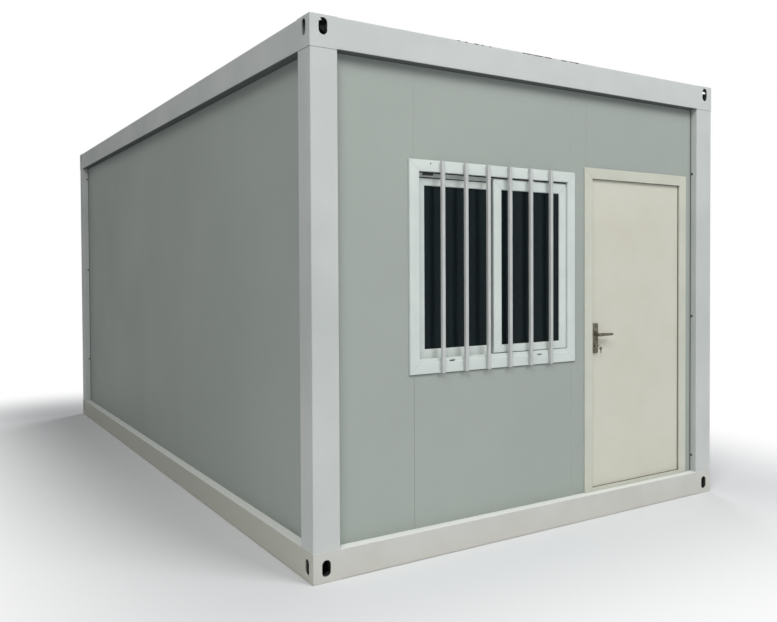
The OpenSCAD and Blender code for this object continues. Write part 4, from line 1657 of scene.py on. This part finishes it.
    def build_screws(self) -> None:
        """Screw the lock plates and the hinges to the door, and the hinges to the frame."""
        inside, outside = Vector((0, 1, 0)), Vector((0, -1, 0))
        leaf_low, leaf_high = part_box("door_leaf")
        plate_low, plate_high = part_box("lock_plates")
        x = (plate_low.x + plate_high.x) / 2
        plates = []
        for z in (plate_low.z + self.screw_in_mm * MM, plate_high.z - self.screw_in_mm * MM):
            plates.append((Vector((x, leaf_low.y - self.plate_mm * MM, z)), outside))
            plates.append((Vector((x, leaf_high.y + self.plate_mm * MM, z)), inside))
        flap_low, flap_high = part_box("door_hinge_flaps")
        pin_low, pin_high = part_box("door_hinge_pins")
        jamb_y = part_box("door_jamb_right")[1].y
        step = (flap_high.z - pin_low.z - self.hinge_mm * MM) / (self.hinge_count - 1)
        flap_x, flap_y = flap_low.x + self.hinge_screw_in_mm * MM, leaf_high.y + self.flap_mm * MM
        frame_x, frame_y = pin_high.x - self.hinge_screw_in_mm * MM, jamb_y + self.flap_mm * MM
        flaps, frames = [], []
        for i in range(self.hinge_count):
            middle = pin_low.z + self.hinge_mm * MM / 2 + i * step
            for off in self.hinge_screws_mm:
                flaps.append((Vector((flap_x, flap_y, middle + off * MM)), inside))
                frames.append((Vector((frame_x, frame_y, middle - off * MM)), inside))
        small = self.screw_head_mm
        Fixings("lock_screws", LOCK_BRONZE, Body.DOOR, "lock_bronze", spots=plates, size_mm=small).build()
        Fixings("hinge_screws_leaf", ZINC_PLATE, Body.DOOR, "hinge_steel", spots=flaps, size_mm=small).build()
        Fixings("hinge_screws_frame", ZINC_PLATE, slot="hinge_steel", spots=frames, size_mm=small).build()

    def key_plate(self, shape: bmesh.types.BMesh, turn: Matrix) -> None:
        """Add a key to a shape: a round bow with a hole, a neck and a cut blade.

        Args:
            shape: Shape that takes the key.
            turn: Place of the key, whose blade runs down from the bow's middle.
        """
        thick, bow, hole, rise = (size * MM for size in self.key_mm)
        count = self.key_sides
        angles = [math.tau * i / count for i in range(count)]
        rings = []
        for radius, up in ((bow, 0.0), (hole, rise)):
            for side in (-thick, thick):
                line = [Vector((radius * math.cos(a), side, radius * math.sin(a) + up)) for a in angles]
                rings.append([shape.verts.new(turn @ point) for point in line])
        for a, b in ((0, 1), (1, 3), (3, 2), (2, 0)):
            for i in range(count):
                j = (i + 1) % count
                shape.faces.new((rings[a][i], rings[a][j], rings[b][j], rings[b][i]))
        faces = []
        for side in (-thick, thick):
            faces.append([shape.verts.new(turn @ Vector((x * MM, side, z * MM))) for x, z in self.blade_mm])
        shape.faces.new(faces[0])
        shape.faces.new(faces[1][::-1])
        count = len(self.blade_mm)
        for i in range(count):
            j = (i + 1) % count
            shape.faces.new((faces[0][i], faces[0][j], faces[1][j], faces[1][i]))

    def build_keys(self) -> None:
        """Leave one key in the barrel, with a spare hanging from it on a ring."""
        low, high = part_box("lock_plates")
        barrel_z = (low.z + high.z) / 2 - self.barrel_drop_mm * MM
        hook = Vector(((low.x + high.x) / 2, low.y - self.key_out_mm * MM, barrel_z))
        quarter = math.pi / 2
        level = Matrix.Rotation(quarter, 4, "X") @ Matrix.Rotation(quarter, 4, "Y")
        tilt = Matrix.Rotation(math.radians(self.spare_deg), 4, "Y")
        shape = bmesh.new()
        self.key_plate(shape, Matrix.Translation(hook) @ level)
        self.key_plate(shape, Matrix.Translation(hook + Vector(self.spare_mm) * MM) @ tilt)
        bmesh.ops.recalc_face_normals(shape, faces=shape.faces)
        place(mesh_object("keys", shape, KEY_BRASS), Body.DOOR)
        radius, wire, bend = self.ring_mm
        middle = hook + Vector(self.ring_at_mm) * MM
        loop = []
        for i in range(self.ring_sides):
            turn = math.tau * i / self.ring_sides
            way = Vector((math.cos(turn), self.ring_lean * math.sin(turn), math.sin(turn)))
            loop.append(middle + way * radius * MM)
        Bead(
            "key_ring", ZINC_PLATE, Body.DOOR, radius_mm=wire, turn_mm=bend, lines=[loop], closed=True
        ).build()

    def build(self) -> None:
        """Build and dress the door."""
        self.build_frame()
        self.build_leaf()
        self.build_hardware()
        self.build_seal()
        self.build_sealant()
        self.build_screws()
        self.build_keys()


@dataclass
class Roof:
    """Ribbed roof sheet and the ceiling under it.

    Attributes:
        rows: Places of the screw rows along x, as shares of the sheet's half width.
        screw_mm: Radius and height of a screw's head, and radius of its washer.
    """

    rows: tuple[float, ...] = (-0.97, -0.33, 0.33, 0.97)
    screw_mm: tuple[float, float, float] = (4.6, 3.4, 8.0)

    def crests(self) -> list[float]:
        """Find the middle of each rib.

        Returns:
            The y of each rib's crest.
        """
        _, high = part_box("roof_sheet")
        crest = high.z - TOUCH_MM * MM
        tops = sorted({round(v.co.y, 4) for v in NODES["roof_sheet"].data.vertices if v.co.z > crest})
        return [(tops[i] + tops[i + 1]) / 2 for i in range(0, len(tops) - 1, 2)]

    def build(self) -> None:
        """Dress the sheet and the ceiling, and screw the sheet down."""
        ROOF_SKIN.dress("roof_sheet")
        CEILING_SKIN.dress("ceiling")
        _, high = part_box("roof_sheet")
        up = Vector((0, 0, 1))
        spots = [(Vector((row * high.x, y, high.z)), up) for row in self.rows for y in self.crests()]
        Fixings(
            "roof_screws",
            ZINC_PLATE,
            slot="hinge_steel",
            shape=HeadShape.HEX,
            size_mm=self.screw_mm,
            spots=spots,
        ).build()


@dataclass
class Floor:
    """Floor board on galvanised joists.

    Attributes:
        board: Node of the board.
        joists: Node of the joists.
    """

    board: str = "floor_board"
    joists: str = "floor_joists"

    def build(self) -> None:
        """Dress the floor."""
        FLOOR_VINYL.dress(self.board)
        GALVANISED.dress(self.joists)


@dataclass(frozen=True)
class Lamp:
    """Square soft lamp of the studio.

    Attributes:
        name: Name of the lamp.
        power_w: Power in watts.
        side_m: Side of the lamp.
        at_m: Place of the lamp.
        aim_m: Point that it faces.
        tint: Colour of its light.
    """

    name: str
    power_w: float
    side_m: float
    at_m: tuple[float, float, float]
    aim_m: tuple[float, float, float]
    tint: str = "#FFFFFF"

    def hang(self) -> None:
        """Hang the lamp, unseen by the camera and in reflections."""
        lamp = bpy.data.lights.new(self.name, "AREA")
        lamp.energy = self.power_w
        lamp.color = linear(self.tint)[:3]
        lamp.shape = "SQUARE"
        lamp.size = self.side_m
        holder = bpy.data.objects.new(self.name, lamp)
        holder.location = self.at_m
        holder.rotation_euler = (Vector(self.aim_m) - Vector(self.at_m)).to_track_quat("-Z", "Y").to_euler()
        holder.visible_camera = False
        holder.visible_glossy = False
        bpy.context.collection.objects.link(holder)


@dataclass
class Studio:
    """Camera of the photograph's view, pale floor, soft lamps and a white backdrop.

    Attributes:
        eye: Place of the camera in metres.
        turn_deg: Turn of the camera.
        focal_px: Focal length in pixels.
        image_px: Width and height of the picture.
        centre_px: Where the camera's axis meets the picture.
        ambient: Strength of the even light.
        painted_bounce: Strength of the floor's glow, unseen by the camera, that paints bounce light on the
            walls' feet.
        floor_m: Radius of the floor.
        sensor_mm: Width of the camera's sensor.
        sky: Tone of the even light.
        paper: Tone of the floor.
        floor_sides: Number of sides of the floor.
        floor_drop_mm: Depth of the floor below the ground, which keeps it off the base.
        fade_m: Distances from the cabin where the floor starts to turn white and is white.
        glow_m: Distances from the cabin where that glow ends and is full.
        rim_m: Distance from the cabin over which that light starts.
        forward_m: Places along y where that light is least and full.
        back_share: Its least share.
        lamps: Soft lamps.
    """

    eye: tuple[float, float, float] = (-3.16925, -6.66264, 1.55066)
    turn_deg: tuple[float, float, float] = (88.79315, 0.18190, -34.57187)
    focal_px: float = 818.49
    image_px: tuple[float, float] = (777.0, 622.0)
    centre_px: tuple[float, float] = (458.66, 286.91)
    ambient: float = 0.23
    painted_bounce: float = 0.34
    floor_m: float = 60.0
    sensor_mm: float = 36.0
    sky: str = "#FBFCFF"
    paper: str = "#E2E4E6"
    floor_sides: int = 96
    floor_drop_mm: float = 0.5
    fade_m: tuple[float, float] = (0.1, 2.0)
    glow_m: tuple[float, float] = (2.0, 0.5)
    rim_m: float = 0.02
    forward_m: tuple[float, float] = (-1.0, -3.2)
    back_share: float = 0.3
    lamps: tuple[Lamp, ...] = (
        Lamp("key", 496.0, 4.6, (2.3, -9.4, 8.0), (0.3, -2.9, 1.4)),
        Lamp("fill", 438.0, 3.6, (-5.2, -7.4, 8.2), (-1.5, -2.0, 1.9), "#FFFDFA"),
        Lamp("back", 400.0, 4.0, (7.0, 8.5, 6.5), (1.0, 1.5, 1.4)),
    )

    def build_camera(self) -> None:
        """Set the camera at the photograph's place."""
        lens = bpy.data.cameras.new("photo_view")
        lens.sensor_width = self.sensor_mm
        width, height = self.image_px
        lens.lens = self.focal_px / width * lens.sensor_width
        lens.shift_x = (width / 2 - self.centre_px[0]) / width
        lens.shift_y = (self.centre_px[1] - height / 2) / width
        camera = bpy.data.objects.new("photo_view", lens)
        camera.location = self.eye
        camera.rotation_euler = [math.radians(v) for v in self.turn_deg]
        bpy.context.collection.objects.link(camera)
        bpy.context.scene.camera = camera

    def white_rays(self, tree: bpy.types.NodeTree) -> bpy.types.NodeSocket:
        """Pick out the rays that should meet a white backdrop.

        Args:
            tree: Tree that takes the nodes.

        Returns:
            One for camera, glossy and transmitted rays.
        """
        path = add(tree, "ShaderNodeLightPath")
        first = add(
            tree,
            "ShaderNodeMath",
            {0: path.outputs["Is Camera Ray"], 1: path.outputs["Is Glossy Ray"]},
            operation="MAXIMUM",
        )
        both = add(
            tree,
            "ShaderNodeMath",
            {0: first.outputs[0], 1: path.outputs["Is Transmission Ray"]},
            operation="MAXIMUM",
        )
        return both.outputs[0]

    def build_world(self) -> None:
        """Light the scene evenly, with white behind it."""
        world = bpy.data.worlds.new("studio")
        bpy.context.scene.world = world
        world.use_nodes = True
        tree = world.node_tree
        tree.nodes.clear()
        light = add(tree, "ShaderNodeBackground", {"Color": linear(self.sky), "Strength": self.ambient})
        white = add(tree, "ShaderNodeBackground", {"Color": (1.0, 1.0, 1.0, 1.0), "Strength": 1.0})
        mixed = add(
            tree, "ShaderNodeMixShader", {0: self.white_rays(tree), 1: light.outputs[0], 2: white.outputs[0]}
        )
        add(tree, "ShaderNodeOutputWorld", {"Surface": mixed.outputs[0]})

    def build_floor(self) -> None:
        """Lay a pale floor under the cabin."""
        drop = Matrix.Translation((0, 0, -self.floor_drop_mm * MM))
        shape = bmesh.new()
        bmesh.ops.create_circle(
            shape, cap_ends=True, segments=self.floor_sides, radius=self.floor_m, matrix=drop
        )
        mesh = bpy.data.meshes.new("studio_floor")
        shape.to_mesh(mesh)
        shape.free()
        floor = bpy.data.objects.new("studio_floor", mesh)
        bpy.context.collection.objects.link(floor)
        paper = bpy.data.materials.new("pale_studio_floor")
        paper.use_nodes = True
        paper.node_tree.nodes.clear()
        self.shade_floor(paper.node_tree)
        mesh.materials.append(paper)

    def shade_floor(self, tree: bpy.types.NodeTree) -> None:
        """Keep the shadow near the cabin, turn white far off and glow, unseen by the camera, as painted
        bounce light on the walls' feet.

        Args:
            tree: The floor material's tree.
        """
        spot = add(tree, "ShaderNodeTexCoord").outputs["Object"]
        away = add(tree, "ShaderNodeVectorMath", {0: spot}, operation="ABSOLUTE").outputs[0]
        past = add(tree, "ShaderNodeVectorMath", {0: away, 1: CAD_BOX[1]}, operation="SUBTRACT")
        near = add(
            tree, "ShaderNodeVectorMath", {0: past.outputs[0], 1: (0.0, 0.0, 0.0)}, operation="MAXIMUM"
        )
        far = add(tree, "ShaderNodeVectorMath", {0: near.outputs[0]}, operation="LENGTH").outputs["Value"]
        rays = self.white_rays(tree)
        start, end = self.fade_m
        fade = add(
            tree, "ShaderNodeMapRange", {"Value": far, 1: start, 2: end}, interpolation_type="SMOOTHSTEP"
        )
        seen = add(tree, "ShaderNodeMath", {0: fade.outputs[0], 1: rays}, operation="MULTIPLY").outputs[0]
        matt = add(tree, "ShaderNodeBsdfDiffuse", {"Color": linear(self.paper)}).outputs[0]
        white = add(tree, "ShaderNodeEmission", {"Color": (1.0, 1.0, 1.0, 1.0), "Strength": 1.0}).outputs[0]
        mixed = add(tree, "ShaderNodeMixShader", {0: seen, 1: matt, 2: white})
        # Painted bounce light: the floor glows near the cabin for all but camera, glossy and transmitted
        # rays.
        none, full = self.glow_m
        glow = add(tree, "ShaderNodeMapRange", {"Value": far, 1: none, 2: full, 4: self.painted_bounce})
        outside = add(tree, "ShaderNodeMapRange", {"Value": far, 1: 0.0, 2: self.rim_m})
        unseen = add(tree, "ShaderNodeMath", {0: 1.0, 1: rays}, operation="SUBTRACT")
        along = add(tree, "ShaderNodeSeparateXYZ", {"Vector": spot}).outputs[1]
        back, front = self.forward_m
        levels = {1: back, 2: front, 3: self.back_share, 4: 1.0}
        forward = add(tree, "ShaderNodeMapRange", {"Value": along, **levels})
        for share in (outside, unseen, forward):
            both = {0: glow.outputs[0], 1: share.outputs[0]}
            glow = add(tree, "ShaderNodeMath", both, operation="MULTIPLY")
        floor_glow = add(tree, "ShaderNodeEmission", {"Strength": glow.outputs[0]})
        lit = add(tree, "ShaderNodeAddShader", {0: mixed.outputs[0], 1: floor_glow.outputs[0]})
        add(tree, "ShaderNodeOutputMaterial", {"Surface": lit.outputs[0]})

    def build(self) -> None:
        """Set up the camera, the world, the lamps and the floor."""
        self.build_camera()
        self.build_world()
        for lamp in self.lamps:
            lamp.hang()
        self.build_floor()
        bpy.context.scene.view_settings.view_transform = "Standard"


def main() -> None:
    """Build the cabin's looks in order, then the studio."""
    logging.basicConfig(level=logging.INFO, format="%(message)s")
    for part in (SteelFrame(), WallPanels(), Window(), Door(), Roof(), Floor(), Studio()):
        part.build()
        log.info("%s done", type(part).__name__)


if __name__ == "__main__":
    main()
